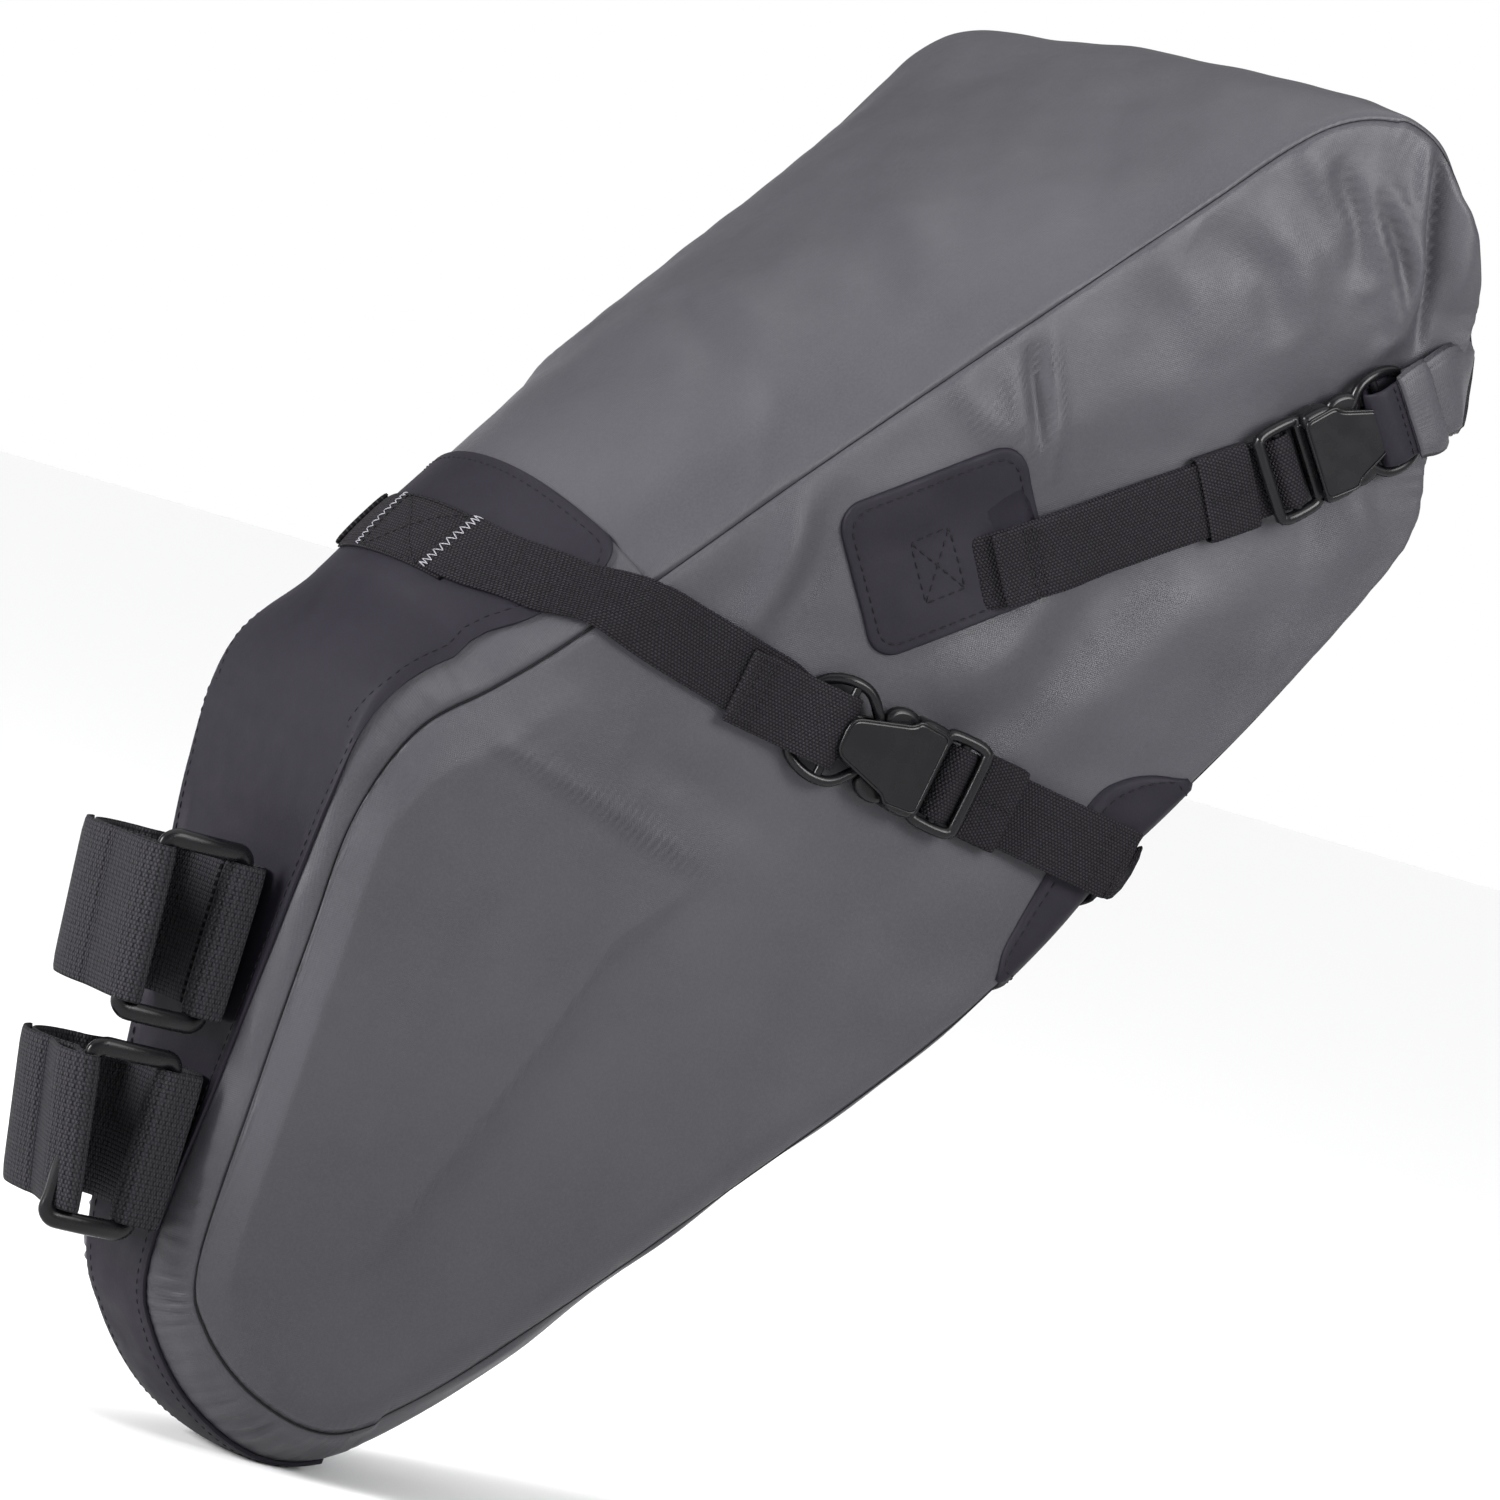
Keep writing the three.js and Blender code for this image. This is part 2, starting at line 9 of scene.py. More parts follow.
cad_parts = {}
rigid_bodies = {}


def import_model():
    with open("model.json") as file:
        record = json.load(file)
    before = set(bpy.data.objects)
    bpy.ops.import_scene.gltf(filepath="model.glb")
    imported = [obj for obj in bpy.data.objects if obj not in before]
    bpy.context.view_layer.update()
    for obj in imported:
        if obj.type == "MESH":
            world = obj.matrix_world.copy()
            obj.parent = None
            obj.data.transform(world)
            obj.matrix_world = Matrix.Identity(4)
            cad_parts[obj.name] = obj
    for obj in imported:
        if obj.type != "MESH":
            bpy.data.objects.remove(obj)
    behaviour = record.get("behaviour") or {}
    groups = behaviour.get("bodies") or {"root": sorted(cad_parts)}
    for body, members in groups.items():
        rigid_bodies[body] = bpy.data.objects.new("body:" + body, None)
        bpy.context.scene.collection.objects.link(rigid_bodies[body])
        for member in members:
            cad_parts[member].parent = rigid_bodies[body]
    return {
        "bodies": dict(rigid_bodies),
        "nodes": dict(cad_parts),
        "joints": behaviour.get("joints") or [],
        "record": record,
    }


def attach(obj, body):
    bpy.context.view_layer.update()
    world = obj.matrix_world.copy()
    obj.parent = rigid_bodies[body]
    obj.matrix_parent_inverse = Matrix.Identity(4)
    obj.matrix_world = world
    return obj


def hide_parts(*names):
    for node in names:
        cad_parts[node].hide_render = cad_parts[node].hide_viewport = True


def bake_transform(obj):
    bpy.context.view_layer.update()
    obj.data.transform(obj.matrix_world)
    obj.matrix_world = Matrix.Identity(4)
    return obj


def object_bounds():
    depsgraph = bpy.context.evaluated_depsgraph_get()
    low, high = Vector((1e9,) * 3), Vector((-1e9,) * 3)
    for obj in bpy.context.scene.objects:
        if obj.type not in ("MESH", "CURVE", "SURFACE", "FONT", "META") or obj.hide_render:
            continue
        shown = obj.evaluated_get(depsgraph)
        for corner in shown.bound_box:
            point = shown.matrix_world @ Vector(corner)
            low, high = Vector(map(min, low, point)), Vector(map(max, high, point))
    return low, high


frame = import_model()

CAD_LOW, CAD_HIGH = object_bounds()

# ---------- driving dimensions, drawn in millimetres ----------
DATUM_Z = 7.0            # shapes are drawn this far below the shared frame
GAP = 0.35               # clearance between neighbouring pieces
FABRIC = 1.2             # coated fabric with its seam tape
WEB = 20.0               # compression webbing width
WEB_T = 1.5              # compression webbing thickness
HOOK = 40.0              # hook-and-loop strap width
HOOK_T = 1.8             # hook-and-loop strap thickness
POST_X = -21.0           # seatpost axis
SIDE_0, SIDE_X, SIDE_Z = 30.0, 0.18, 0.08
BLACK_END = 16.33        # station where the black saddle panel stops
NOSE_END = 6.7           # station where the nose panel stops underneath
REAR_START = 23.43       # station where the rear panel starts, under the roll
BLEND_FROM = (0.166, 0.0, 0.164)   # start of the shell's stretch between the bag and the roll; nothing blends it
BLEND_TO = (0.230, 0.0, 0.2196)    # and its end
BLENDED = ("bag", "roll", BLEND_FROM, BLEND_TO)

# Stations round the side outline: x, z, half width of the centre band, crown, crown at band edge.
OUTLINE = np.array([
    [265, 208, 66, 10, 7],
    [242, 155, 62, 13, 9],
    [215, 105, 54, 14, 10],
    [186, 50, 46, 13, 10],
    [134, -15, 38, 11, 9],
    [99, -56, 31, 11, 10],
    [76, -80, 24, 12, 11],
    [57, -92, 15, 13, 12],
    [34, -87, 13, 11, 10],
    [15, -73, 12.5, 8, 7.5],
    [7, -56, 15, 7, 7],
    [6, -10, 22, 6, 6],
    [6, 30, 28, 6, 6],
    [6.5, 62, 33, 6.5, 6.5],
    [15, 88, 35, 17, 13],
    [32, 105, 36, 26, 14],
    [50, 125, 40, 30, 14],
    [92, 178, 49, 27, 13],
    [136, 231, 59, 20, 10],
    [172, 274, 67, 12, 6],
    [203, 308, 74, 5, 3],
    [231, 311, 80, 4, 3],
    [257, 283, 83.5, 8, 6],
    [261.5, 256, 84, 10, 8],
    [261.5, 232, 76, 10, 8],
], float)
TURNS = len(OUTLINE)


# ---------- small helpers ----------
def unit(v):
    v = np.asarray(v, float)
    return v / np.maximum(np.linalg.norm(v, axis=-1, keepdims=True), 1e-9)


def smooth(x, a, b):
    """0 before a, 1 after b."""
    t = np.clip((np.asarray(x, float) - a) / (b - a), 0, 1)
    return t * t * (3 - 2 * t)


def metres(p):
    return (np.asarray(p, float) + np.array([0, 0, DATUM_Z])) * 0.001


def flip(p):
    """The same points on the other side of the bag."""
    return np.asarray(p, float) * np.array([1.0, -1.0, 1.0])


def travelled(points):
    """Distance along a path from its start to each of its points."""
    return np.concatenate([[0], np.cumsum(np.linalg.norm(np.diff(points, axis=0), axis=1))])


def read(at, run, rows):
    """Rows of points read at places along their run."""
    return np.stack([np.interp(at, run, rows[:, c]) for c in range(3)], -1)


def between(a, b, c, d, f, g):
    """From a to b and from c to d by f, then between the two by g."""
    return (a * (1 - f) + b * f) * (1 - g) + (c * (1 - f) + d * f) * g


def curve_piece(a, b, c, d, f):
    """Catmull-Rom curve from b to c at share f."""
    return b + 0.5 * f * (c - a + f * (2 * a - 5 * b + 4 * c - d + f * (3 * (b - c) + d - a)))


def ripple(p, wave, seed, count=7):
    """Smooth repeatable unevenness between about -1 and 1."""
    rng = np.random.RandomState(seed)
    total = np.zeros(p.shape[:-1])
    for _ in range(count):
        way = unit(rng.normal(size=p.shape[-1]))
        total += np.sin(p @ way * 2 * math.pi / (wave * rng.uniform(0.7, 1.5)) + rng.uniform(0, 6.28))
    return total / math.sqrt(count)


# ---------- bag outline ----------
def station(u):
    u = np.asarray(u, float)
    i = np.floor(u).astype(int)
    return curve_piece(*(OUTLINE[(i + k) % TURNS] for k in (-1, 0, 1, 2)), (u - i)[..., None])


def side_half(x, z):
    return SIDE_0 + SIDE_X * x + SIDE_Z * z


def outward(u):
    t = station(np.asarray(u) + 0.05) - station(np.asarray(u) - 0.05)
    return unit(np.stack([-t[..., 1], t[..., 0]], -1))


def band(u, q, lift=0.0):
    """Across the band: q 0 centre, 1 band edge, 2 side seam."""
    u, q = np.broadcast_arrays(np.asarray(u, float), np.asarray(q, float))
    st = station(u)
    n = outward(u)
    x = st[..., 0] + n[..., 0] * lift
    z = st[..., 1] + n[..., 1] * lift
    half = side_half(st[..., 0], st[..., 1]) + lift
    edge, crown, low = st[..., 2] + 0.5 * lift, st[..., 3], st[..., 4]
    a, s = np.abs(q), np.where(q < 0, -1.0, 1.0)
    inner = crown - (crown - low) * np.minimum(a, 1) ** 2.2
    r = np.clip(a - 1, 0, 1)
    rise = np.where(a <= 1, inner, low * (1 - r))
    y = np.where(a <= 1, a * edge, edge + (half - edge) * r)
    return np.stack([x + n[..., 0] * rise, s * y, z + n[..., 1] * rise], -1)


# ---------- one skin for the whole bag ----------
NV = 76                                   # rows down a side panel
Q_SIDE = np.concatenate([np.linspace(0, 1, 25), 1 + np.linspace(0, 1, 13)[1:]])
Q = np.concatenate([-Q_SIDE[:0:-1], Q_SIDE])
NQ = len(Q) - 1


def run_length(u0, u1):
    p = station(np.linspace(u0, u1, 9))[:, :2]
    return np.linalg.norm(np.diff(p, axis=0), axis=1).sum()


def side_columns():
    """Stations of the upper and lower run of a side, paired."""
    upper, lower = [], []
    for k in range(10):
        pitch = 1.5 if k < 4 else 2.3
        n = math.ceil(max(run_length(13 + k, 14 + k), run_length(9 - k, 10 - k)) / pitch)
        f = np.arange(n) / n
        upper.append(13 + k + f)
        lower.append(10 - k - f)
    return np.append(np.concatenate(upper), 23.0), np.append(np.concatenate(lower), 0.0)


UPPER, LOWER = side_columns()
NL = len(UPPER) - 1
V = np.linspace(0, 1, NV + 1)
U = np.concatenate([LOWER[::-1][:-1], (13 - 3 * V)[::-1][:-1], UPPER[:-1], (23 + 2 * V)[:-1]])
NU = len(U)


def seam_index():
    """Band column that each border row of a side panel shares."""
    a, v = np.arange(NL + 1), np.arange(NV + 1)
    return {
        "upper": (NL + NV + a) % NU,
        "lower": NL - a,
        "front": NL + NV - v,
        "rear": (2 * NL + NV + v) % NU,
    }


def coons(upper, lower, front, rear):
    """Fills a side panel from its four borders."""
    s = (np.arange(NL + 1) / NL)[:, None, None]
    v = V[None, :, None]
    ruled = upper[:, None] * (1 - v) + lower[:, None] * v
    ahead = front[None] - (front[0] * (1 - v) + front[-1] * v)
    behind = rear[None] - (rear[0] * (1 - v) + rear[-1] * v)
    return ruled + (1 - s) * ahead + s * behind


def build_skin():
    """Points, quads and a record of where every point is on the bag."""
    uu, qq = np.meshgrid(U, Q, indexing="ij")
    points = [band(uu, qq).reshape(-1, 3)]
    ids = np.arange(NU * (NQ + 1)).reshape(NU, NQ + 1)
    border = seam_index()
    sides = []
    count = ids.size
    for sign, col in ((-1, 0), (1, NQ)):
        rows = {k: ids[v, col] for k, v in border.items()}
        edge = {k: points[0][v] for k, v in rows.items()}
        grid = coons(edge["upper"], edge["lower"], edge["front"], edge["rear"])
        inner = grid[1:-1, 1:-1].copy()
        inner[..., 1] = sign * side_half(inner[..., 0], inner[..., 2])
        own = np.arange(inner.shape[0] * inner.shape[1]).reshape(inner.shape[:2]) + count
        count += own.size
        points.append(inner.reshape(-1, 3))
        table = np.zeros((NL + 1, NV + 1), int)
        table[1:-1, 1:-1] = own
        table[:, 0], table[:, -1] = rows["upper"], rows["lower"]
        table[0, :], table[-1, :] = rows["front"], rows["rear"]
        sides.append(table)
    return np.concatenate(points), ids, sides


def quads(ids, wrap=False):
    a = ids if not wrap else np.concatenate([ids, ids[:1]])
    return np.stack([a[:-1, :-1], a[1:, :-1], a[1:, 1:], a[:-1, 1:]], -1).reshape(-1, 4)


def facing(points, faces, middle):
    """Turns quads so that they face away from middle."""
    c = points[faces]
    n = np.cross(c[:, 2] - c[:, 0], c[:, 3] - c[:, 1])
    bad = (n * (c.mean(1) - middle)).sum(1) < 0
    faces = faces.copy()
    faces[bad] = faces[bad][:, ::-1]
    return faces


def normals_of(points, faces):
    c = points[faces]
    n = np.cross(c[:, 2] - c[:, 0], c[:, 3] - c[:, 1])
    total = np.zeros_like(points)
    for k in range(4):
        np.add.at(total, faces[:, k], n)
    return unit(total)


def relax(points, faces, weight, steps):
    """Rounds the skin: each point moves towards the middle of its neighbours."""
    edges = np.concatenate([faces[:, [k, (k + 1) % 4]] for k in range(4)])
    start, end = np.unique(np.concatenate([edges, edges[:, ::-1]]), axis=0).T
    n = np.bincount(start, minlength=len(points))[:, None]
    for _ in range(steps):
        total = np.stack([np.bincount(start, points[end, c], len(points)) for c in range(3)], -1)
        points = points + weight[:, None] * 0.5 * (total / n - points)
    return points


# ---------- folds ----------
def fold(p, line, height, width):
    """A ridge, or a groove if height is negative, along a line; it fades at both ends."""
    line = np.asarray(line, float)
    at = travelled(line)
    at = at / at[-1]
    best, share = np.full(len(p), 1e9), np.zeros(len(p))
    for k, step in enumerate(np.diff(line, axis=0)):
        t = np.clip((p - line[k]) @ step / (step @ step), 0, 1)
        d = np.linalg.norm(p - line[k] - t[:, None] * step, axis=1)
        near = d < best
        best[near] = d[near]
        share[near] = (at[k] + t * (at[k + 1] - at[k]))[near]
    taper = np.clip(4.4 * share * (1 - share), 0, 1) ** 0.8
    return height * taper * np.exp(-((best / width) ** 2))


# Folds on the flat of a side: points (x, z), height, width.
SIDE_FOLDS = [
    ([(191, 300), (208, 287), (221, 276), (228, 264)], 1.5, 4.2),
    ([(209, 299), (222, 284), (233, 271), (239, 259), (233, 249)], 2.3, 3.0),
    ([(213, 300), (229, 289), (238, 277), (243, 261)], 1.9, 2.6),
    ([(204, 296), (216, 284), (224, 268)], -2.0, 4.0),
    ([(218, 293), (231, 279), (238, 264)], -1.5, 2.4),
    ([(232, 314), (236, 297), (242, 276), (247, 256)], -3.4, 2.2),
    ([(228, 314), (232, 298), (238, 280), (242, 266)], 1.8, 2.6),
    ([(243, 308), (249, 290), (254, 270)], 2.8, 5.5),
    ([(174, 270), (196, 263), (208, 248)], -1.3, 6.0),
    ([(186, 280), (205, 269), (215, 251)], 1.1, 6.0),
    ([(160, 262), (180, 250), (190, 236)], 0.9, 6.0),
    ([(93, 176), (95, 150), (89, 130)], 2.0, 5.0),
    ([(103, 178), (104, 156), (98, 140)], -1.0, 4.5),
    ([(120, 213), (132, 206), (144, 202)], 1.3, 3.6),
    ([(135, 221), (144, 208), (152, 197)], 1.5, 2.8),
    ([(139, 228), (146, 214), (152, 202)], -1.7, 2.0),
    ([(142, 232), (151, 214), (159, 195)], 1.6, 2.4),
    ([(174, 178), (162, 152), (146, 134)], 2.0, 8.0),
    ([(184, 162), (168, 134), (152, 112)], -1.2, 7.0),
    ([(214, 190), (196, 150), (176, 118)], 1.0, 8.0),
    ([(24, 94), (60, 85), (112, 71)], 0.9, 1.7),
    ([(70, 100), (100, 92), (124, 84)], -0.8, 6.0),
    ([(225, 232), (244, 216), (256, 200)], 1.2, 5.0),
    ([(214, 232), (232, 212), (240, 190)], -0.9, 5.0),
]

# Folds on the top: points (x, y), height, width. The first ones lie by the left edge.
TOP_FOLDS = [
    ([(95, 10), (90, -28), (84, -60)], 1.7, 5.0),
    ([(90, 18), (80, -20), (74, -44)], -1.4, 4.0),
    ([(134, 0), (126, -38), (118, -64)], 1.0, 5.0),
    ([(124, 10), (116, -30), (108, -58)], -0.7, 5.5),
    ([(74, 30), (98, 48), (124, 60)], 1.0, 5.0),
    ([(66, 44), (92, 62), (116, 78)], -1.0, 4.5),
    ([(100, 70), (130, 78), (160, 86)], 0.9, 6.0),
    ([(150, 40), (178, 20), (196, -30)], 0.6, 12.0),
    ([(84, 34), (76, 56), (72, 72)], 1.4, 5.0),
    ([(146, -30), (160, -60), (166, -78)], 0.8, 6.0),
]


def seam_distance(p):
    """Distance in the side view from points (x, z) to the side seam, and its nearest station."""
    u = np.arange(0, TURNS, 0.04)
    s = station(u)[:, :2]
    best = np.full(len(p), 1e9)
    at = np.zeros(len(p))
    for k in range(0, len(s), 25):
        d = np.linalg.norm(p[:, None] - s[None, k:k + 25], axis=2)
        j = d.argmin(1)
        m = d[np.arange(len(p)), j]
        near = m < best
        best[near], at[near] = m[near], u[k + j[near]]
    return best, at


def side_relief(p):
    """How far a side stands out from its plane at points (x, z)."""
    edge, at = seam_distance(p)
    x, z = p[:, 0], p[:, 1]
    nose = 1 - smooth(x * 0.62 + z * 0.78, 78, 132)
    ramp = np.clip((edge - 0.5) / (7.5 + 5.5 * smooth(at, 13.0, 14.6)), 0, 1)
    plate = (1 - (1 - ramp) ** 1.15) * nose
    front = smooth(at, 9.5, 11) * (1 - smooth(at, 15, 17))
    total = plate * (3.1 + 1.6 * front)
    soft = smooth(edge, 2, 34) * smooth(x * 0.62 + z * 0.78, 150, 190)
    strap = np.minimum(line_distance(p, (122, 119), (-17, -8)), line_distance(p, (213, 211), (34, 34)))
    total += soft * 2.2 * smooth(strap, 13, 34)
    for line, height, width in SIDE_FOLDS:
        total += 1.35 * fold(p, line, height, width)
    low_curve = np.exp(-((at - 7.7) / 1.0) ** 2) * smooth(edge, 0, 3) * (1 - smooth(edge, 6, 13))
    total += 0.32 * low_curve * np.sin(at * 48)
    quiet = 1 - 0.8 * plate
    total += ripple(p, 46, 3) * 0.45 * smooth(edge, 2, 20) * quiet
    total += ripple(p, 17, 4) * 0.10 * smooth(edge, 2, 12) * quiet
    pucker = np.exp(-edge / 5.0) * np.sin(at * 26 + 2 * np.sin(at * 7))
    return total + 0.16 * pucker


def line_distance(p, at, degrees):
    """Distance to a two-piece line bent at a point."""
    a = np.radians(degrees[0] + 180), np.radians(degrees[1])
    rel = p - np.array(at, float)
    best = np.full(len(p), 1e9)
    for angle in a:
        way = np.array([math.cos(angle), math.sin(angle)])
        t = np.clip(rel @ way, 0, 300)
        best = np.minimum(best, np.linalg.norm(rel - t[:, None] * way, axis=1))
    return best


def band_relief(points, u, q):
    """How far the band stands out at each point."""
    top = smooth(u, 16.2, 17) * (1 - smooth(u, 20.6, 21.3))
    total = ripple(points, 60, 7) * 0.7 * top
    total += ripple(points, 24, 8) * 0.22 * top
    for line, height, width in TOP_FOLDS:
        total += fold(points[:, :2], line, height, width) * top
    under = (u < 6.5) | (u > 23.4)
    total += under * (ripple(points, 40, 9) * 0.6 + ripple(points, 16, 10) * 0.15)
    rear = smooth(u, 20.8, 21.4) * (1 - smooth(u, 23.2, 23.6))
    total += rear * (ripple(points * [1, 1, 0.25], 26, 11) * 0.8)
    r = np.abs(q) - 1
    strip = (r > 0) * (u > 6.7) * (1 - smooth(u, 15.4, 16.5))
    bulge = np.sin(np.clip(r, 0, 1) * math.pi)
    bend = np.exp(-((u - 9.75) / 0.75) ** 2) + 0.8 * np.exp(-((u - 7.6) / 0.8) ** 2)
    bend += 0.35 * np.exp(-((u - 14.3) / 0.5) ** 2)
    total += strip * bulge * 1.1
    total += strip * bulge * bend * 0.85 * np.sin(u * 62 + 3 * np.sin(u * 11) + r * 2)
    total += strip * bulge * 0.25 * ripple(points, 14, 12)
    return total


POINTS, BAND_IDS, SIDE_IDS = build_skin()
BAND_FACES = facing(POINTS, quads(BAND_IDS, wrap=True), np.array([120, 0, 100.0]))
SIDE_FACES = [facing(POINTS, quads(t), np.array([120, 0, 100.0])) for t in SIDE_IDS]
ALL_FACES = np.concatenate([BAND_FACES, *SIDE_FACES])


def shape_skin():
    """Rounds the skin, then adds its folds."""
    points = POINTS.copy()
    nb = BAND_IDS.size
    u = np.repeat(U, NQ + 1)
    weight = np.ones(len(points))
    nose = (u > 6.4) & (u < 16.0)
    weight[:nb][nose] = 0.12
    rear = (u > 20.6) & (u < 24.5)
    weight[:nb][rear] = 0.3
    flat = (np.abs(np.tile(Q, NU)) < 0.97) & (u > 10.3) & (u < 13.0)
    weight[:nb][flat] = 0.0
    for table in SIDE_IDS:
        inner = table[1:-1, 1:-1].ravel()
        edge, at = seam_distance(points[inner][:, [0, 2]])
        crisp = smooth(at, 6.2, 6.8) * (1 - smooth(at, 15.8, 16.6))
        weight[inner] = (1 - smooth(edge, 4, 16)) * (1 - 0.9 * crisp)
    points = relax(points, ALL_FACES, weight, 14)
    n = normals_of(points, ALL_FACES)
    height = np.zeros(len(points))
    height[:nb] = band_relief(points[:nb], u, np.tile(Q, NU))
    for table in SIDE_IDS:
        inner = table[1:-1, 1:-1].ravel()
        height[inner] = side_relief(points[inner][:, [0, 2]])
    on_nose = smooth(U, 6.2, 6.8) * (1 - smooth(U, 16.2, 16.8))
    for col in (0, -1):
        height[BAND_IDS[:, col]] = -0.15 - 0.4 * on_nose
    return points + n * height[:, None]


SKIN = shape_skin()
SKIN_N = normals_of(SKIN, ALL_FACES)
TREE = BVHTree.FromPolygons([Vector(p) for p in SKIN], [list(map(int, f)) for f in ALL_FACES])


def on_skin(points, lift, reach=40.0):
    """Nearest points of the skin, lifted off it, and the outward direction there."""
    flat = np.asarray(points, float).reshape(-1, 3)
    lift = np.broadcast_to(np.asarray(lift, float), np.asarray(points).shape[:-1]).ravel()
    out, nor = np.empty_like(flat), np.empty_like(flat)
    for k, p in enumerate(flat):
        at, n, face, _ = TREE.find_nearest(Vector(p), reach)
        n = SKIN_N[ALL_FACES[face]].mean(0)
        nor[k] = n / np.linalg.norm(n)
        out[k] = np.array(at) + nor[k] * lift[k]
    shape = np.asarray(points).shape
    return out.reshape(shape), nor.reshape(shape)


def band_skin(u, q):
    """Point and outward direction of the finished skin at station u and band place q."""
    u, q = np.broadcast_arrays(np.asarray(u, float), np.asarray(q, float))
    shape = u.shape
    u, q = u.ravel() % TURNS, q.ravel()
    i = np.clip(np.searchsorted(U, u, side="right") - 1, 0, NU - 1)
    f = ((u - U[i]) / (np.append(U, TURNS)[i + 1] - U[i]))[:, None]
    j = np.clip(np.searchsorted(Q, q, side="right") - 1, 0, NQ - 1)
    g = ((q - Q[j]) / (Q[j + 1] - Q[j]))[:, None]
    after = (i + 1) % NU
    corners = [BAND_IDS[i, j], BAND_IDS[after, j], BAND_IDS[i, j + 1], BAND_IDS[after, j + 1]]
    at, n = (between(*(t[c] for c in corners), f, g).reshape(shape + (3,)) for t in (SKIN, SKIN_N))
    return at, unit(n)


# ---------- materials ----------
class Shader:
    """A node material with short calls."""

    def __init__(self, name, color, rough, specular):
        self.material = bpy.data.materials.new(name)
        self.material.use_nodes = True
        self.tree = self.material.node_tree
        self.main = self.tree.nodes["Principled BSDF"]
        self.color((*color, 1))
        self.rough(rough)
        self.plug(self.main.inputs["Specular IOR Level"], specular)
        self.last_bump = None

    def node(self, kind, inputs, **values):
        made = self.tree.nodes.new(kind)
        for key, value in values.items():
            setattr(made, key, value)
        for key, value in inputs.items():
            self.plug(made.inputs[key], value)
        return made

    def plug(self, socket, value):
        if isinstance(value, (int, float, tuple)):
            socket.default_value = value
        else:
            self.tree.links.new(value, socket)

    def math(self, op, a, b=0.0):
        return self.node("ShaderNodeMath", {0: a, 1: b}, operation=op).outputs[0]

    def uv(self):
        place = self.node("ShaderNodeUVMap", {}, uv_map="UVMap").outputs[0]
        return self.node("ShaderNodeSeparateXYZ", {0: place}).outputs[:2]

    def noise(self, scale, detail=3.0, rough=0.55, distortion=0.0):
        inputs = {"Scale": scale, "Detail": detail, "Roughness": rough, "Distortion": distortion}
        inputs["Vector"] = self.node("ShaderNodeTexCoord", {}).outputs["Object"]
        return self.node("ShaderNodeTexNoise", inputs).outputs["Fac"]

    def span(self, value, low=0.3, high=0.7, to_low=0.0, to_high=1.0):
        inputs = {"Value": value, "From Min": low, "From Max": high, "To Min": to_low, "To Max": to_high}
        return self.node("ShaderNodeMapRange", inputs).outputs["Result"]

    def mix(self, factor, a, b):
        a, b = ((*c, 1) if isinstance(c, tuple) else c for c in (a, b))
        inputs = {"Factor": factor, "A": a, "B": b}
        return self.node("ShaderNodeMix", inputs, data_type="RGBA").outputs["Result"]

    def bump(self, height, distance, strength=1.0):
        inputs = {"Strength": strength, "Distance": distance, "Height": height}
        if self.last_bump is not None:
            inputs["Normal"] = self.last_bump
        self.last_bump = self.node("ShaderNodeBump", inputs).outputs["Normal"]
        self.plug(self.main.inputs["Normal"], self.last_bump)

    def color(self, value):
        self.plug(self.main.inputs["Base Color"], value)

    def rough(self, value):
        self.plug(self.main.inputs["Roughness"], value)

    def ribs(self, s, pitch, phase=0.0):
        """Rounded ridges every pitch metres along s."""
        turned = self.math("ADD", self.math("MULTIPLY", s, math.pi / pitch), phase)
        return self.math("ABSOLUTE", self.math("SINE", turned))


def coated_fabric():
    sh = Shader("coated_fabric", (0.038, 0.037, 0.043), 0.45, 0.25)
    base = sh.mix(sh.span(sh.noise(16, 4, 0.6)), (0.0310, 0.0305, 0.0355), (0.0410, 0.0400, 0.0465))
    speck = sh.noise(1400, 2, 0.7)
    sh.color(sh.mix(sh.span(speck, 0.35, 0.75, 0.0, 0.45), base, (0.053, 0.0515, 0.0595)))
    sh.rough(sh.span(sh.noise(60, 3, 0.6), 0.3, 0.7, 0.40, 0.52))
    s, t = sh.uv()
    weave = sh.math("MULTIPLY", sh.ribs(s, 0.00052), sh.ribs(t, 0.00052))
    sh.bump(sh.noise(85, 3, 0.5, 0.4), 0.00045, 0.55)
    sh.bump(sh.noise(420, 3, 0.6, 0.6), 0.00012, 0.6)
    sh.bump(weave, 0.00004, 0.8)
    return sh.material


def rubberised():
    sh = Shader("rubberised_cloth", (0.008, 0.007, 0.011), 0.6, 0.15)
    base = sh.mix(sh.span(sh.noise(22, 4)), (0.0066, 0.0055, 0.0092), (0.0098, 0.0084, 0.0130))
    speck = sh.noise(1600, 2, 0.7)
    sh.color(sh.mix(sh.span(speck, 0.4, 0.75, 0, 0.35), base, (0.0150, 0.0134, 0.0190)))
    sh.rough(sh.span(sh.noise(90, 3), 0.3, 0.7, 0.55, 0.70))
    sh.bump(sh.noise(70, 3, 0.5, 0.3), 0.0003, 0.45)
    sh.bump(sh.noise(1100, 2, 0.6), 0.00006, 0.6)
    return sh.material


def shade(color, share):
    return tuple(c * share for c in color)


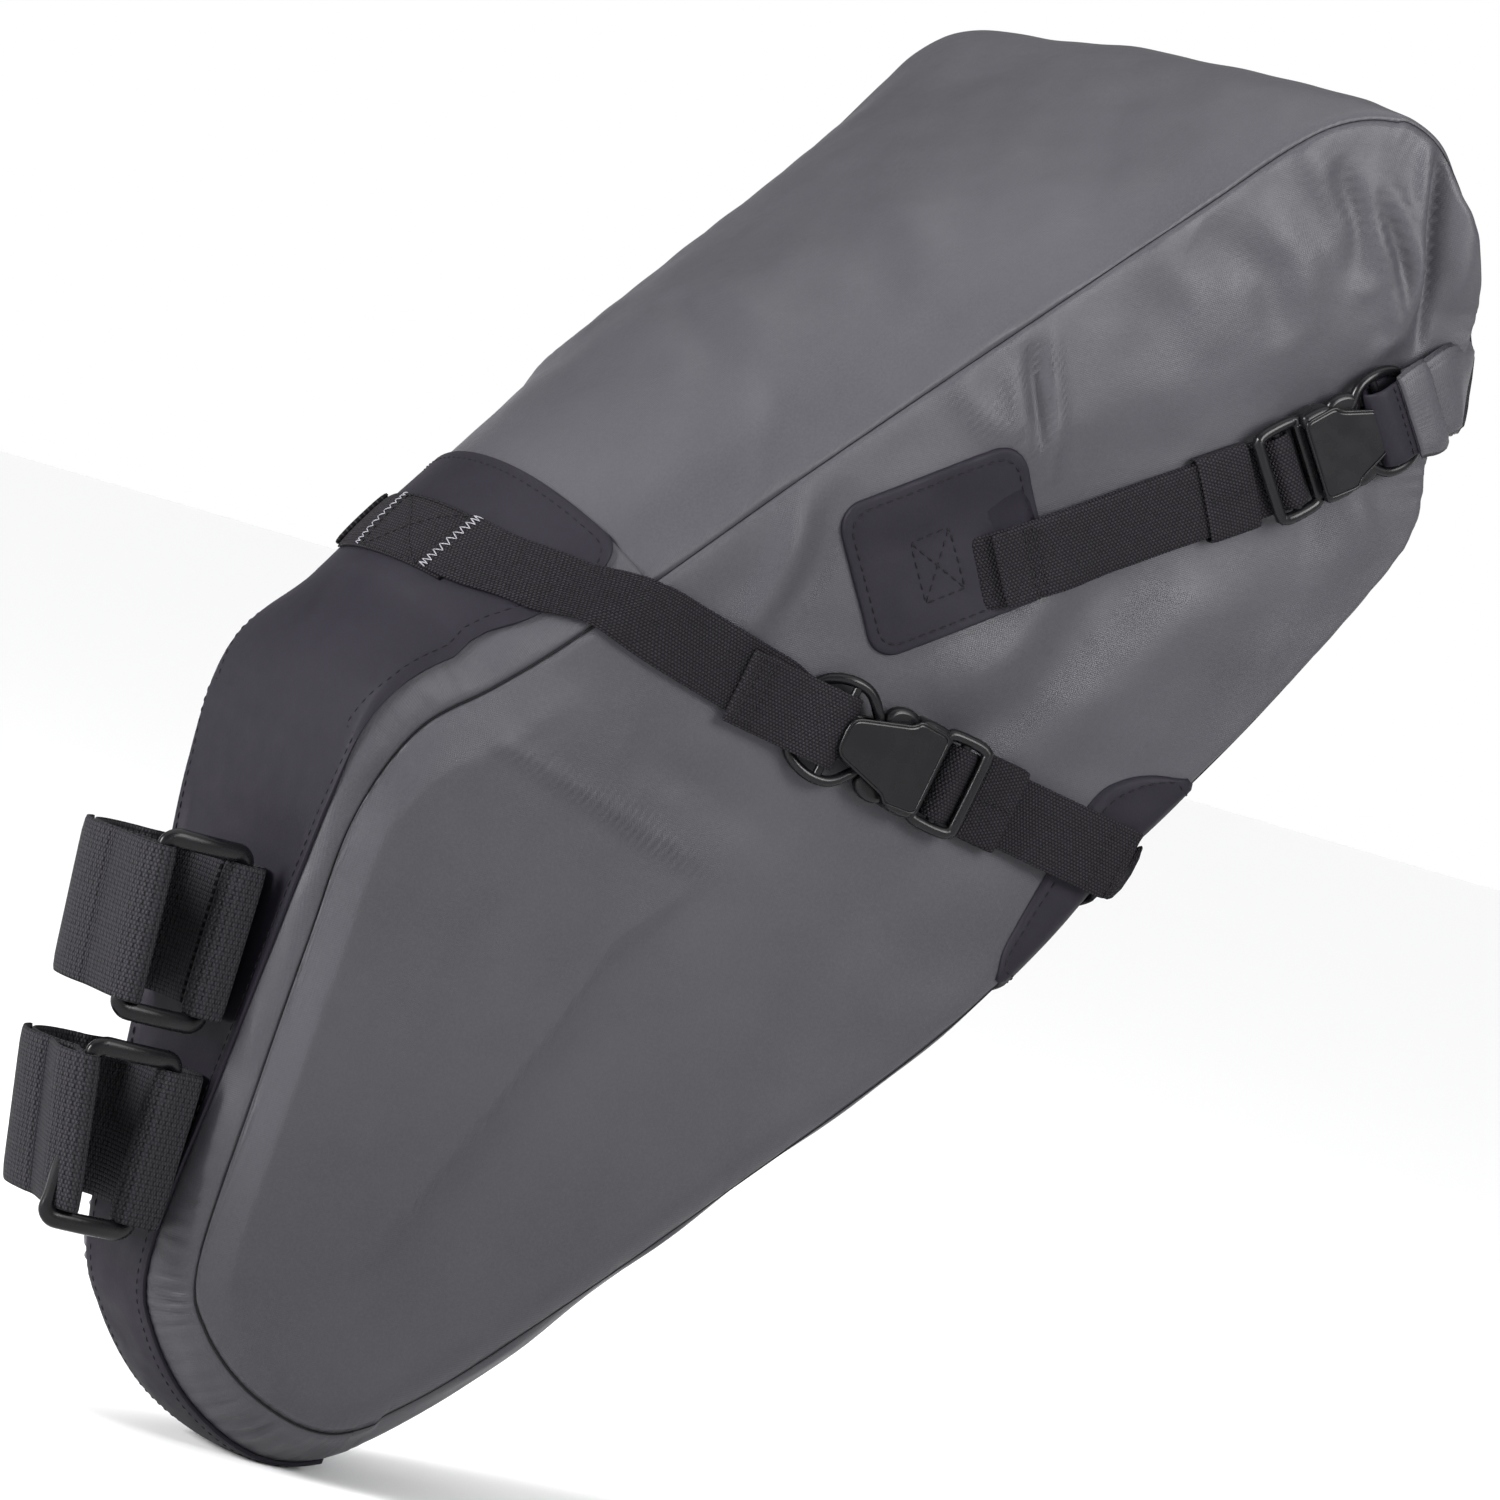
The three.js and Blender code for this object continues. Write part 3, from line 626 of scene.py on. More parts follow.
def webbing(name, color, row, column, groove=False):
    """Narrow woven strap: offset rows of yarn, coloured paler on their crowns as painted highlight and darker
    between them as painted shade.
    """
    sh = Shader(name, color, 0.8, 0.12)
    s, t = sh.uv()
    shift = sh.math("MULTIPLY", sh.math("FLOOR", sh.math("DIVIDE", t, column)), math.pi / 2)
    yarn = sh.math("MULTIPLY", sh.ribs(s, row, shift), sh.math("POWER", sh.ribs(t, column), 0.6))
    if groove:
        yarn = sh.math("ADD", yarn, sh.math("MULTIPLY", sh.ribs(s, row * 2), 0.6))
    fuzz = sh.noise(900, 2, 0.7)
    # painted light and shade: the colour follows the yarn's relief, 0.3 times the strap colour in the hollows
    # and 2.7 times on the crowns
    painted_yarn_light = sh.math("MULTIPLY", yarn, sh.span(fuzz, 0.3, 0.7, 0.55, 1.0))
    sh.color(sh.mix(painted_yarn_light, shade(color, 0.3), shade(color, 2.7)))
    sh.bump(yarn, 0.00040, 1.0)
    sh.bump(fuzz, 0.00010, 0.5)
    return sh.material


def moulded_plastic():
    sh = Shader("moulded_plastic", (0.004, 0.0036, 0.0044), 0.26, 0.20)
    sh.color(sh.mix(sh.span(sh.noise(40, 3)), (0.0034, 0.0030, 0.0038), (0.0050, 0.0046, 0.0056)))
    sh.rough(sh.span(sh.noise(160, 3), 0.3, 0.7, 0.22, 0.32))
    sh.bump(sh.noise(2200, 2, 0.6), 0.00003, 0.5)
    return sh.material


def thread(name, color):
    sh = Shader(name, color, 0.7, 0.15)
    twist = sh.noise(1800, 2, 0.6)
    sh.color(sh.mix(sh.span(twist), shade(color, 0.6), shade(color, 1.3)))
    sh.bump(twist, 0.0001, 0.7)
    return sh.material


SHELL = coated_fabric()
BLACK = rubberised()
WEBBING = webbing("compression_webbing", (0.0085, 0.0074, 0.0094), 0.0010, 0.00085)
HOOKED = webbing("hook_and_loop", (0.0105, 0.0100, 0.0118), 0.00085, 0.0011, True)
PLASTIC = moulded_plastic()
DARK_THREAD = thread("dark_thread", (0.006, 0.0055, 0.0065))
PALE_THREAD = thread("pale_thread", (0.20, 0.195, 0.215))
SLOTS = {"shell": SHELL, "black": BLACK}


# ---------- mesh makers ----------
def add(name, data):
    made = bpy.data.objects.new(name, data)
    bpy.context.scene.collection.objects.link(made)
    return made


def build(name, points, faces, material, uv=None):
    mesh = bpy.data.meshes.new(name)
    mesh.from_pydata(metres(points).tolist(), [], [list(map(int, f)) for f in faces])
    mesh.polygons.foreach_set("use_smooth", [True] * len(mesh.polygons))
    if uv is not None:
        layer = mesh.uv_layers.new(name="UVMap")
        loops = np.empty(len(mesh.loops), int)
        mesh.loops.foreach_get("vertex_index", loops)
        layer.data.foreach_set("uv", (np.asarray(uv)[loops] * 0.001).ravel())
    mesh.materials.append(material)
    mesh.update()
    return add(name, mesh)


def settle(obj, body, slot, *nodes):
    """Hides the CAD nodes the piece replaces and hangs it on the body it moves with; a piece between two
    bodies is only baked in place. The slot is not used.
    """
    if nodes:
        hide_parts(*nodes)
    if isinstance(body, tuple):
        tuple(body[2])
        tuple(body[3])
        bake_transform(obj)
    else:
        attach(obj, body)
    return obj


def slab(top, bottom):
    """A closed sheet between two grids of points."""
    nu, nv = top.shape[:2]
    ids = np.arange(nu * nv).reshape(nu, nv)
    low = ids + nu * nv
    faces = [quads(ids), quads(low)[:, ::-1]]
    for edge in (np.s_[0], np.s_[-1, ::-1], np.s_[::-1, 0], np.s_[:, -1]):
        a, b = ids[edge], low[edge]
        faces.append(np.stack([a[:-1], a[1:], b[1:], b[:-1]], -1))
    return np.concatenate([top.reshape(-1, 3), bottom.reshape(-1, 3)]), np.concatenate(faces)


def tube(rows, sides, closed=False, base=0):
    """Faces of a tube of rows rings, with a cap at both ends unless it is closed."""
    ids = np.arange(rows * sides).reshape(rows, sides) + base
    faces = quads(np.concatenate([ids, ids[:, :1]], axis=1), wrap=closed).tolist()
    return faces if closed else faces + [ids[0][::-1].tolist(), ids[-1].tolist()]


def circle(sides):
    """Cosines and sines round a circle, as columns."""
    a = (np.arange(sides) * 2 * math.pi / sides)[:, None]
    return np.cos(a), np.sin(a)


def through(points, step):
    """Smooth curve through rows of numbers; the first three columns are the place."""
    p = np.asarray(points, float)
    p = np.concatenate([2 * p[:1] - p[1:2], p, 2 * p[-1:] - p[-2:-1]])
    out = []
    for k in range(1, len(p) - 2):
        n = max(2, math.ceil(np.linalg.norm(p[k + 1, :3] - p[k, :3]) / step))
        out.append(curve_piece(*p[k - 1:k + 3], (np.arange(n) / n)[:, None]))
    return np.concatenate([*out, p[-2:-1]])


def strap_rows(rows, width, step=1.3, across_count=11, sag=0.0):
    """Rows: centre (3), across (3), drape, lift. Returns the strap's middle surface."""
    r = through(rows, step)
    centre, across, drape, lift = r[:, :3], unit(r[:, 3:6]), np.clip(r[:, 6], 0, 1), r[:, 7]
    w = np.sin(np.linspace(-1, 1, across_count) * math.pi / 2) * width / 2
    grid = centre[:, None] + across[:, None] * w[None, :, None]
    if drape.max() > 0:
        laid, _ = on_skin(grid, np.repeat(lift[:, None], len(w), 1))
        grid = grid + drape[:, None, None] * (laid - grid)
        for _ in range(3):
            grid[1:-1] += 0.5 * (0.5 * (grid[:-2] + grid[2:]) - grid[1:-1])
    return grid, w


def grid_normals(grid):
    return unit(np.cross(np.gradient(grid, axis=0), np.gradient(grid, axis=1)))


def strap(name, rows, width=WEB, thick=WEB_T, material=None, step=1.3):
    grid, w = strap_rows(rows, width, step)
    n = grid_normals(grid)
    rim = np.sqrt(np.clip(1 - (np.abs(w) / (width / 2)) ** 10 * 0.85, 0.02, 1))[None, :, None]
    points, faces = slab(grid + n * rim * thick / 2, grid - n * rim * thick / 2)
    run = travelled(grid[:, grid.shape[1] // 2])
    uv = np.stack(np.broadcast_arrays(run[:, None], w[None]), -1).reshape(-1, 2)
    return build(name, points, faces, material or WEBBING, np.concatenate([uv, uv])), grid, n


def capsule_chain(starts, ends, up, radius):
    """Short threads that dip into the cloth at both ends."""
    rings = sides = 6
    lift = np.sin(np.linspace(0, 1, rings) * math.pi)
    size = 0.45 + 0.55 * np.sqrt(np.clip(lift, 0, 1))
    cos, sin = circle(sides)
    points, faces = [], []
    for k, (start, way, n) in enumerate(zip(starts, ends - starts, up)):
        side = unit(np.cross(way, n))
        n = unit(np.cross(side, way))
        height = lift[:, None] * radius * 0.9 - radius * 0.35
        centre = start + way * np.linspace(0, 1, rings)[:, None] + n * height
        ring = cos[None] * side + sin[None] * n
        block = centre[:, None] + ring * radius * size[:, None, None]
        points.append(block.reshape(-1, 3))
        faces += tube(rings, sides, base=k * rings * sides)
    return np.concatenate(points), faces


def along(points, normals, length, gap):
    """Start, end and up of each stitch on a path."""
    run = travelled(points)
    count = max(1, int(run[-1] / (length + gap)))
    at = (np.arange(count) + 0.5) * run[-1] / count
    start, end = (read(at + way * length / 2, run, points) for way in (-1, 1))
    return start, end, unit(read(at, run, normals))


def stitches(name, paths, body, slot="webbing", length=2.1, gap=0.9, radius=0.26):
    """One piece of thread for several stitched paths of (points, normals)."""
    sets = zip(*(along(p, n, length, gap) for p, n in paths))
    points, faces = capsule_chain(*(np.concatenate(part) for part in sets), radius)
    return settle(build(name, points, faces, DARK_THREAD), body, slot)


def cord_mesh(path, radius, sides=8, closed=False):
    """A round rod along a path."""
    p = np.asarray(path, float)
    t = unit(np.roll(p, -1, 0) - np.roll(p, 1, 0) if closed else np.gradient(p, axis=0))
    ref = unit(np.cross(t[0], [0.3, 0.2, 0.93]))
    cos, sin = circle(sides)
    points = []
    for at, way in zip(p, t):
        ref = unit(ref - way * (ref @ way))
        points.append(at + radius * (cos * ref + sin * np.cross(way, ref)))
    return np.concatenate(points), tube(len(p), sides, closed)


# ---------- shell ----------
def skin_piece(name, faces, uv_of, body, slot, *nodes):
    used, local = np.unique(faces, return_inverse=True)
    points = SKIN[used]
    made = build(name, points, local.reshape(faces.shape), SLOTS[slot], uv_of(points, used))
    cloth = made.modifiers.new("cloth_thickness", "SOLIDIFY")
    cloth.thickness = FABRIC * 0.001
    cloth.offset = -1.0
    cloth.use_even_offset = False
    settle(made, body, slot, *nodes)


RUN = travelled(station(U)[:, :2])


def band_uv(points, used):
    return np.stack([RUN[np.minimum(used // (NQ + 1), NU - 1)], points[:, 1]], -1)


def side_uv(points, used):
    return points[:, [0, 2]]


def band_faces(choose):
    """Band quads picked by their middle station and band place."""
    i, j = np.meshgrid(np.arange(NU), np.arange(NQ), indexing="ij")
    nxt = np.append(U, TURNS)
    u = 0.5 * (nxt[i] + nxt[i + 1])
    q = np.abs(0.5 * (Q[j] + Q[j + 1]))
    return BAND_FACES[choose(u, q).ravel()]


def make_shell():
    top = band_faces(lambda u, q: ((u > BLACK_END) & (u < REAR_START)) | ((u > 15.4) & (u < 23) & (q < 1)))
    skin_piece("shell_top", top, band_uv, BLENDED, "shell", "top_panel", "rear_flap")
    rear = band_faces(lambda u, q: u > REAR_START)
    skin_piece("shell_rear", rear, band_uv, BLENDED, "black", "rear_panel")
    low = band_faces(lambda u, q: u < NOSE_END)
    skin_piece("shell_bottom", low, band_uv, BLENDED, "shell", "bottom_panel")
    for side, sign, faces in (("left", -1, SIDE_FACES[0]), ("right", 1, SIDE_FACES[1])):
        keep = band_faces(lambda u, q: (u > NOSE_END) & (u < BLACK_END) & (q > 1))
        keep = keep[SKIN[keep].mean(1)[:, 1] * sign > 0]
        skin_piece(f"shell_strip_{side}", keep, band_uv, "bag", "shell", f"nose_strip_{side}")
        skin_piece(f"shell_side_{side}", faces, side_uv, BLENDED, "shell", f"side_panel_{side}")


def black_reach(u):
    """How far across the band the black panel reaches; it broadens where the saddle strap crosses it."""
    stations = [13.0, 13.6, 14.1, 14.7, 15.0, 15.3, 15.8, 16.33]
    return np.interp(u, stations, [1.03, 1.09, 1.2, 1.28, 1.19, 1.21, 1.35, 1.46])


def corner_cut(b):
    """How far back, in stations, the black panel's rear edge is at share b of its half width."""
    radius = 15
    side = (1 - np.abs(b)) * (station(BLACK_END)[2] * 1.25)
    cut = radius - np.sqrt(np.clip(radius ** 2 - (radius - side) ** 2, 0, None))
    return np.where(side < radius, cut, 0) / 62


def black_spine():
    """The rubberised panel from under the nose, past the seatpost, to the top of the nose."""
    u = np.concatenate([U[(U > NOSE_END) & (U < BLACK_END)], [BLACK_END]])
    b = np.sin(np.linspace(-1, 1, 61) * math.pi / 2)
    uu = np.repeat(u[:, None], len(b), 1)
    uu = uu - corner_cut(b)[None, :] * smooth(uu, 14.6, BLACK_END)
    qq = b[None, :] * black_reach(u)[:, None]
    at, n = band_skin(uu, qq)
    flat = smooth(1 - np.abs(qq), 0.02, 0.16) * smooth(uu, 10.05, 10.4) * (1 - smooth(uu, 12.6, 12.98))
    top = at + n * (1.25 - 1.2 * flat)[..., None]
    low = at + n * (-0.25 - 1.2 * flat)[..., None]
    rim = np.ones_like(uu)
    rim[:, [0, -1]] = rim[[0, -1], :] = 0.35
    points, faces = slab(low + (top - low) * rim[..., None], low)
    uv = np.stack([np.interp(uu, U, RUN), at[..., 1]], -1).reshape(-1, 2)
    made = build("black_spine", points, faces, BLACK, np.concatenate([uv, uv]))
    settle(made, "bag", "black", "saddle_panel", "seatpost_panel", "nose_bottom_panel")
    us = np.linspace(NOSE_END + 0.15, 15.9, 420)
    edge = black_reach(us) - np.where(black_reach(us) > 1.1, 0.2, 2.4 / station(us)[:, 2])
    ends = np.linspace(-0.93, 0.93, 90)
    lines = [(us, -edge), (us, edge), (BLACK_END - 0.045 - corner_cut(ends), ends * 1.38)]
    paths = [(p + m * 1.2, m) for p, m in (band_skin(*line) for line in lines)]
    stitches("black_spine_thread", paths, "bag", "black", 1.9, 0.9, 0.2)


def seam_line(name, u0, u1, q, body, radius, lift):
    u = np.linspace(u0, u1, int(abs(u1 - u0) * 60) + 2)
    p, n = band_skin(u, q)
    points, faces = cord_mesh(p + n * lift, radius, 6)
    settle(build(name, points, faces, DARK_THREAD), body, "shell")


make_shell()
black_spine()
for s, side in ((-1, "left"), (1, "right")):
    seam_line(f"side_seam_nose_{side}", NOSE_END, 16.3, s * 1.999, "bag", 0.30, 0.08)
    seam_line(f"side_seam_top_{side}", 16.3, 22.4, s * 1.999, BLENDED, 0.13, -0.02)
    seam_line(f"side_seam_low_{side}", 0.2, NOSE_END, s * 1.999, BLENDED, 0.2, 0.04)


# ---------- frames on the flat of the left side ----------
class Frame:
    def __init__(self, x, z, degrees, lift=GAP):
        a = math.radians(degrees)
        self.n = unit([-SIDE_X, -1, -SIDE_Z])
        self.e1 = unit([math.cos(a), -(SIDE_X * math.cos(a) + SIDE_Z * math.sin(a)), math.sin(a)])
        self.e2 = np.cross(self.n, self.e1)
        self.at = np.array([x, -side_half(x, z), z]) + self.n * lift

    def __call__(self, a, b=0.0, c=0.0):
        a, b, c = np.broadcast_arrays(*(np.asarray(v, float) for v in (a, b, c)))
        return self.at + a[..., None] * self.e1 + b[..., None] * self.e2 + c[..., None] * self.n


SADDLE = Frame(121.6, 118, -8)
SADDLE_RUN = Frame(121.6, 118, -13)
TOP = Frame(247, 240.4, 221)
TOP_RUN = Frame(213, 211, 214)
SIDES = (("left", lambda p: np.asarray(p, float)), ("right", flip))


def frame_rows(frame, steps):
    """Strap rows from (along, lift above the frame, drape, lift above the skin)."""
    return [np.concatenate([frame(a, 0, c), frame.e2, [d, h]]) for a, c, d, h in steps]


def free_rows(frame, steps):
    """Strap rows from (along, lift above the frame) that take nothing from the skin."""
    return frame_rows(frame, [(a, c, 0, 1) for a, c in steps])


def band_rows(places, drape=1.0):
    """Strap rows that cross the band, from (station, band place, lift above the skin)."""
    rows = []
    for u, q, h in places:
        p, n = band_skin(np.array(u), np.array(q))
        across = unit(band(u + 0.05, q) - band(u - 0.05, q))
        rows.append(np.concatenate([p + n * h, across, [drape, h]]))
    return rows


def on_side(rows, side):
    """Strap rows moved to the named side."""
    rows = np.array(rows, float)
    if side == "right":
        rows[:, 1] *= -1
        rows[:, 4] *= -1
    return rows


def row_path(grid, normals, at, share, lift):
    """A stitched line across a strap at row at."""
    count = grid.shape[1]
    j = np.linspace(0.5 - share / 2, 0.5 + share / 2, 24) * (count - 1)
    n = unit(read(j, np.arange(count), normals[at]))
    return read(j, np.arange(count), grid[at]) + n * lift, n


def outward_sign(normals, row, side):
    """+1 if a strap's own normals point away from the bag at that row."""
    y = normals[row, normals.shape[1] // 2, 1]
    return 1.0 if (y < 0) == (side == "left") else -1.0


# ---------- webbing ----------
def sewn_strap(name, rows, side, body, hems=(), share=0.84, lift=0.78, probe=-4, **shape):
    """A strap in place of the CAD node of its name, with stitches across it at the rows in hems."""
    made, grid, n = strap(f"{name}_{side}", on_side(rows, side), **shape)
    settle(made, body, "webbing", f"{name}_{side}")
    if hems:
        n = n * outward_sign(n, probe, side)
        paths = [row_path(grid, n, k, share, lift) for k in hems]
        stitches(f"{name}_thread_{side}", paths, body, length=1.6, gap=0.7)


def saddle_straps():
    start = {"left": [(15.70, -0.46, 3.1), (15.73, -0.60, 3.0)], "right": [(15.76, -0.67, 2.75)]}
    places = [(15.80, -0.76, 2.6), (15.93, -0.95, 2.2), (16.02, -1.25, 2.1), (16.11, -1.6, 2.1),
              (16.20, -1.93, 2.2)]
    flat = [(-50, 2.2, 1, 2.1), (-38, 1.8, 1, 1.9), (-26, 1.6, 0.8, 1.6), (-18, 1.4, 0.2, 1.5)]
    turn = [(-11, 1.3), (-4, 1.4), (0.6, 1.8), (2.8, 2.9), (3.3, 4.3), (2.6, 5.9), (0.2, 6.6), (-5, 5.8),
            (-11, 4.0), (-19, 3.35), (-30, 3.2)]
    for side, _ in SIDES:
        rows = band_rows(start[side] + places) + frame_rows(SADDLE_RUN, flat) + free_rows(SADDLE, turn)
        sewn_strap("saddle_strap", rows, side, "bag", (-3, -6))


def saddle_anchor():
    """The strap sewn across the top of the nose, with its box of stitches and pale bar tacks."""
    reach = 0.64
    places = [(15.66 + 0.16 * q * q, q, 1.8) for q in np.linspace(-reach, reach, 13)]
    made, grid, n = strap("saddle_anchor", np.array(band_rows(places)), WEB + 0.4, 1.0)
    settle(made, "bag", "webbing", "saddle_anchor")
    n = n * (1.0 if n[len(n) // 2, 5, 2] > 0 else -1.0)
    at = lambda q: int(np.argmin(np.abs(np.linspace(-reach, reach, len(grid)) - q)))
    low, high = at(-0.42), at(0.22)
    box = [(low, 0.12), (high, 0.12), (high, 0.88), (low, 0.88), (low, 0.12), (high, 0.88)]
    paths = [strap_path(grid, n, corners, 0.55, 26) for corners in (box, [(low, 0.88), (high, 0.12)])]
    stitches("saddle_anchor_thread", paths, "bag", length=1.7, gap=0.7)
    tacks = []
    for q, lift in ((-0.50, 2.25), (0.27, 0.75)):
        zigzag = [(at(q) + (1.1 if k % 2 else -1.1), 0.1 + 0.8 * k / 22) for k in range(23)]
        p, m = strap_path(grid, n, zigzag, lift, 1)
        tacks.append((p[:-1], p[1:], m[:-1]))
    points, faces = capsule_chain(*(np.concatenate(part) for part in zip(*tacks)), 0.17)
    settle(build("saddle_bar_tacks", points, faces, PALE_THREAD), "bag", "webbing")


def strap_path(grid, normals, corners, lift, steps):
    """Path over a strap through (row, share of width) corners, with steps points to each leg."""
    corners = np.array(corners, float)
    f = (np.arange(steps) / steps)[:, None]
    legs = [a * (1 - f) + b * f for a, b in zip(corners[:-1], corners[1:])]
    ij = np.concatenate(legs + [corners[-1:]])
    i = np.clip(ij[:, 0], 0, grid.shape[0] - 1.001)
    j = np.clip(ij[:, 1] * (grid.shape[1] - 1), 0, grid.shape[1] - 1.001)
    i0, j0 = i.astype(int), j.astype(int)
    f, g = (i - i0)[:, None], (j - j0)[:, None]
    corners = [(i0, j0), (i0 + 1, j0), (i0, j0 + 1), (i0 + 1, j0 + 1)]
    at, n = (between(*(t[c] for c in corners), f, g) for t in (grid, normals))
    return at + unit(n) * lift, unit(n)


# The webbing's turn round a ladder lock's bar: along, up.
LADDER_TURN = [(33.4, 1.9), (33.5, 4.2), (34.4, 6.0), (36.7, 6.7), (38.9, 6.0), (40.0, 4.5), (41.4, 3.5),
               (43.5, 3.2), (50, 3.2)]


def lower_straps():
    start = [(33.5, 1.3, 0, 1), (45, 1.4, 0.3, 1.6), (60, 1.6, 1, 1.6), (74, 2.2, 1, 2.6), (88, 3, 1, 2.7)]
    corner = np.concatenate([SADDLE(97.5, 0, 1.2), SADDLE.e2, [0.0, 2.6]])
    tail = [(56, 3.2, 0.4, 3.3), (64, 3.4, 0.8, 3.5), (74, 4.0, 1, 4.6), (88, 4.6, 1, 4.7),
            (96, 3.8, 0.6, 4.4)]
    for side, _ in SIDES:
        male = f"saddle_male_{side}"
        under = band_rows([(2.02, q, 3.0) for q in (-1.86, -1.5, -1.0, -0.55, -0.1)])
        sewn_strap("lower_strap", frame_rows(SADDLE, start) + [corner] + under, side, male)
        rows = free_rows(SADDLE, LADDER_TURN) + frame_rows(SADDLE, tail)
        sewn_strap("lower_tail", rows, side, male, (-3, -9))


def side_straps():
    run = [(8, 1.4, 0, 1), (24, 1.4, 0.2, 1.5), (36, 1.9, 0.8, 2.2), (50, 2.4, 1, 2.8), (66, 2.4, 1, 2.8),
           (76, 2.2, 1, 2.2), (81, 1.2, 1, 0.7)]
    tail = [(8, 3.3, 0, 1), (20, 3.4, 0, 1), (30, 3.4, 0.2, 3.4), (42, 4.0, 0.9, 4.6), (56, 4.4, 1, 4.7),
            (70, 4.4, 1, 4.8), (76.5, 4.4, 1, 4.9)]
    for side, _ in SIDES:
        male = f"side_male_{side}"
        rows = free_rows(TOP, [(33.0, 1.3), (42, 1.3)]) + frame_rows(TOP_RUN, run)
        sewn_strap("side_strap", rows, side, male)
        rows = free_rows(TOP, LADDER_TURN[:-1]) + frame_rows(TOP_RUN, tail)
        sewn_strap("side_tail", rows, side, male, (-9, -11), 0.9, 0.85, thick=1.6)


def keepers():
    """Sewn elastic loops that hold the strap tails down."""
    b = np.array([-11.1, -11.3, -10.6, -6, 0, 6, 10.6, 11.3, 11.1, 8, 0, -8, -11.1])
    c = np.array([1.2, 3.2, 4.6, 5.1, 5.2, 5.1, 4.6, 3.2, 1.2, 0.35, 0.25, 0.35, 1.0])
    for kind, frame, start, length, male in (("lower", SADDLE, 45.0, 12.5, "saddle_male"),
                                             ("side", TOP_RUN, 1.0, 15, "side_male")):
        rows = [np.concatenate([frame(start + length / 2, bb, cc), frame.e1, [0, 1]]) for bb, cc in zip(b, c)]
        top = frame(np.linspace(start + 0.8, start + length - 0.8, 20), 0.0, 5.75)
        up = np.repeat(frame.n[None], 20, 0)
        for side, turn in SIDES:
            body = f"{male}_{side}"
            sewn_strap(f"{kind}_keeper", rows, side, body, width=length, thick=0.9, step=1.0)
            stitches(f"{kind}_keeper_thread_{side}", [(turn(top), turn(up))], body, length=1.5, gap=0.6)


# ---------- patches ----------
RINGS = [1.0, 0.992, 0.975, 0.94, 0.88, 0.8, 0.7, 0.6, 0.5, 0.4, 0.3, 0.2, 0.1]   # a patch's rings, as shares


def rounded_outline(half_a, half_b, r, n=14):
    """A rounded rectangle as a loop of points at most about 1.8 apart."""
    out = []
    for k, (sa, sb) in enumerate(((1, 1), (-1, 1), (-1, -1), (1, -1))):
        t = np.radians(90 * k + 90 * np.arange(n + 1) / n)
        out.append(np.stack([sa * (half_a - r) + r * np.cos(t), sb * (half_b - r) + r * np.sin(t)], -1))
    p = np.concatenate(out)
    dense = []
    for a, b in zip(p, np.roll(p, -1, 0)):
        m = max(1, int(np.linalg.norm(b - a) / 1.8))
        dense.append(a + (b - a) * (np.arange(m) / m)[:, None])
    return np.concatenate(dense)


def disc(outline, place, lifts):
    """A patch in rings that shrink to its middle; place turns outline points and a lift into points."""
    n = len(outline)
    points = [place(outline, lifts[0])]
    for k, r in enumerate(RINGS):
        share = (0.35, 0.85)[k] if k < 2 else 1.0
        points.append(place(outline * r, lifts[0] + (lifts[1] - lifts[0]) * share))
    points.append(place(outline[:1] * 0, lifts[1]))
    faces = []
    for k in range(len(RINGS)):
        a = np.arange(n) + k * n
        faces += np.stack([a, np.roll(a, -1), np.roll(a, -1) + n, a + n], -1).tolist()
    a = np.arange(n) + len(RINGS) * n
    faces += np.stack([a, np.roll(a, -1), np.full(n, a[0] + n)], -1).tolist()
    faces.append(list(range(n))[::-1])
    return np.concatenate(points), faces


def side_patches():
    base = Frame(136.5, 170, 37)
    outline = rounded_outline(27, 21.5, 7.5)
    inner = rounded_outline(24.2, 18.7, 5.5)
    low, high = np.array([-9.5, -11.0]), np.array([2.0, 6.0])
    square = np.array([low, (high[0], low[1]), high, (low[0], high[1]), low, high])
    cross = np.array([(low[0], high[1]), (high[0], low[1])])
    uv = np.concatenate([outline, *[outline * r for r in RINGS], outline[:1] * 0])
    for side, turn in SIDES:
        def place(ab, lift):
            return on_skin(turn(base(ab[:, 0], ab[:, 1], 1.0)), lift)[0]
        points, faces = disc(outline, place, (-0.2, 1.35))
        if side == "right":
            faces = [f[::-1] for f in faces]
        made = build(f"side_patch_{side}", points, faces, BLACK, uv)
        settle(made, "bag", "black", f"side_patch_{side}")
        lines = (np.concatenate([inner, inner[:1]]), dense_line(square), dense_line(cross))
        paths = [on_skin(turn(base(line[:, 0], line[:, 1], 1.0)), 1.4) for line in lines]
        stitches(f"side_patch_thread_{side}", paths, "bag", "black", 2.0, 0.9, 0.24)


def dense_line(points, step=1.0):
    out = []
    for a, b in zip(points[:-1], points[1:]):
        m = max(2, int(np.linalg.norm(b - a) / step))
        out.append(a + (b - a) * (np.arange(m) / m)[:, None])
    return np.concatenate([*out, points[-1:]])


def flap_depth(s):
    """Depth of the bottom patch's flap up the side, s from its rear end to its front end."""
    return np.interp(s, [0, 0.05, 0.14, 0.26, 0.42, 0.6, 0.8, 0.92, 0.98, 1.0],
                     [1.5, 8.0, 14.5, 18.6, 17.6, 13.5, 10.2, 7.6, 4.2, 1.5])


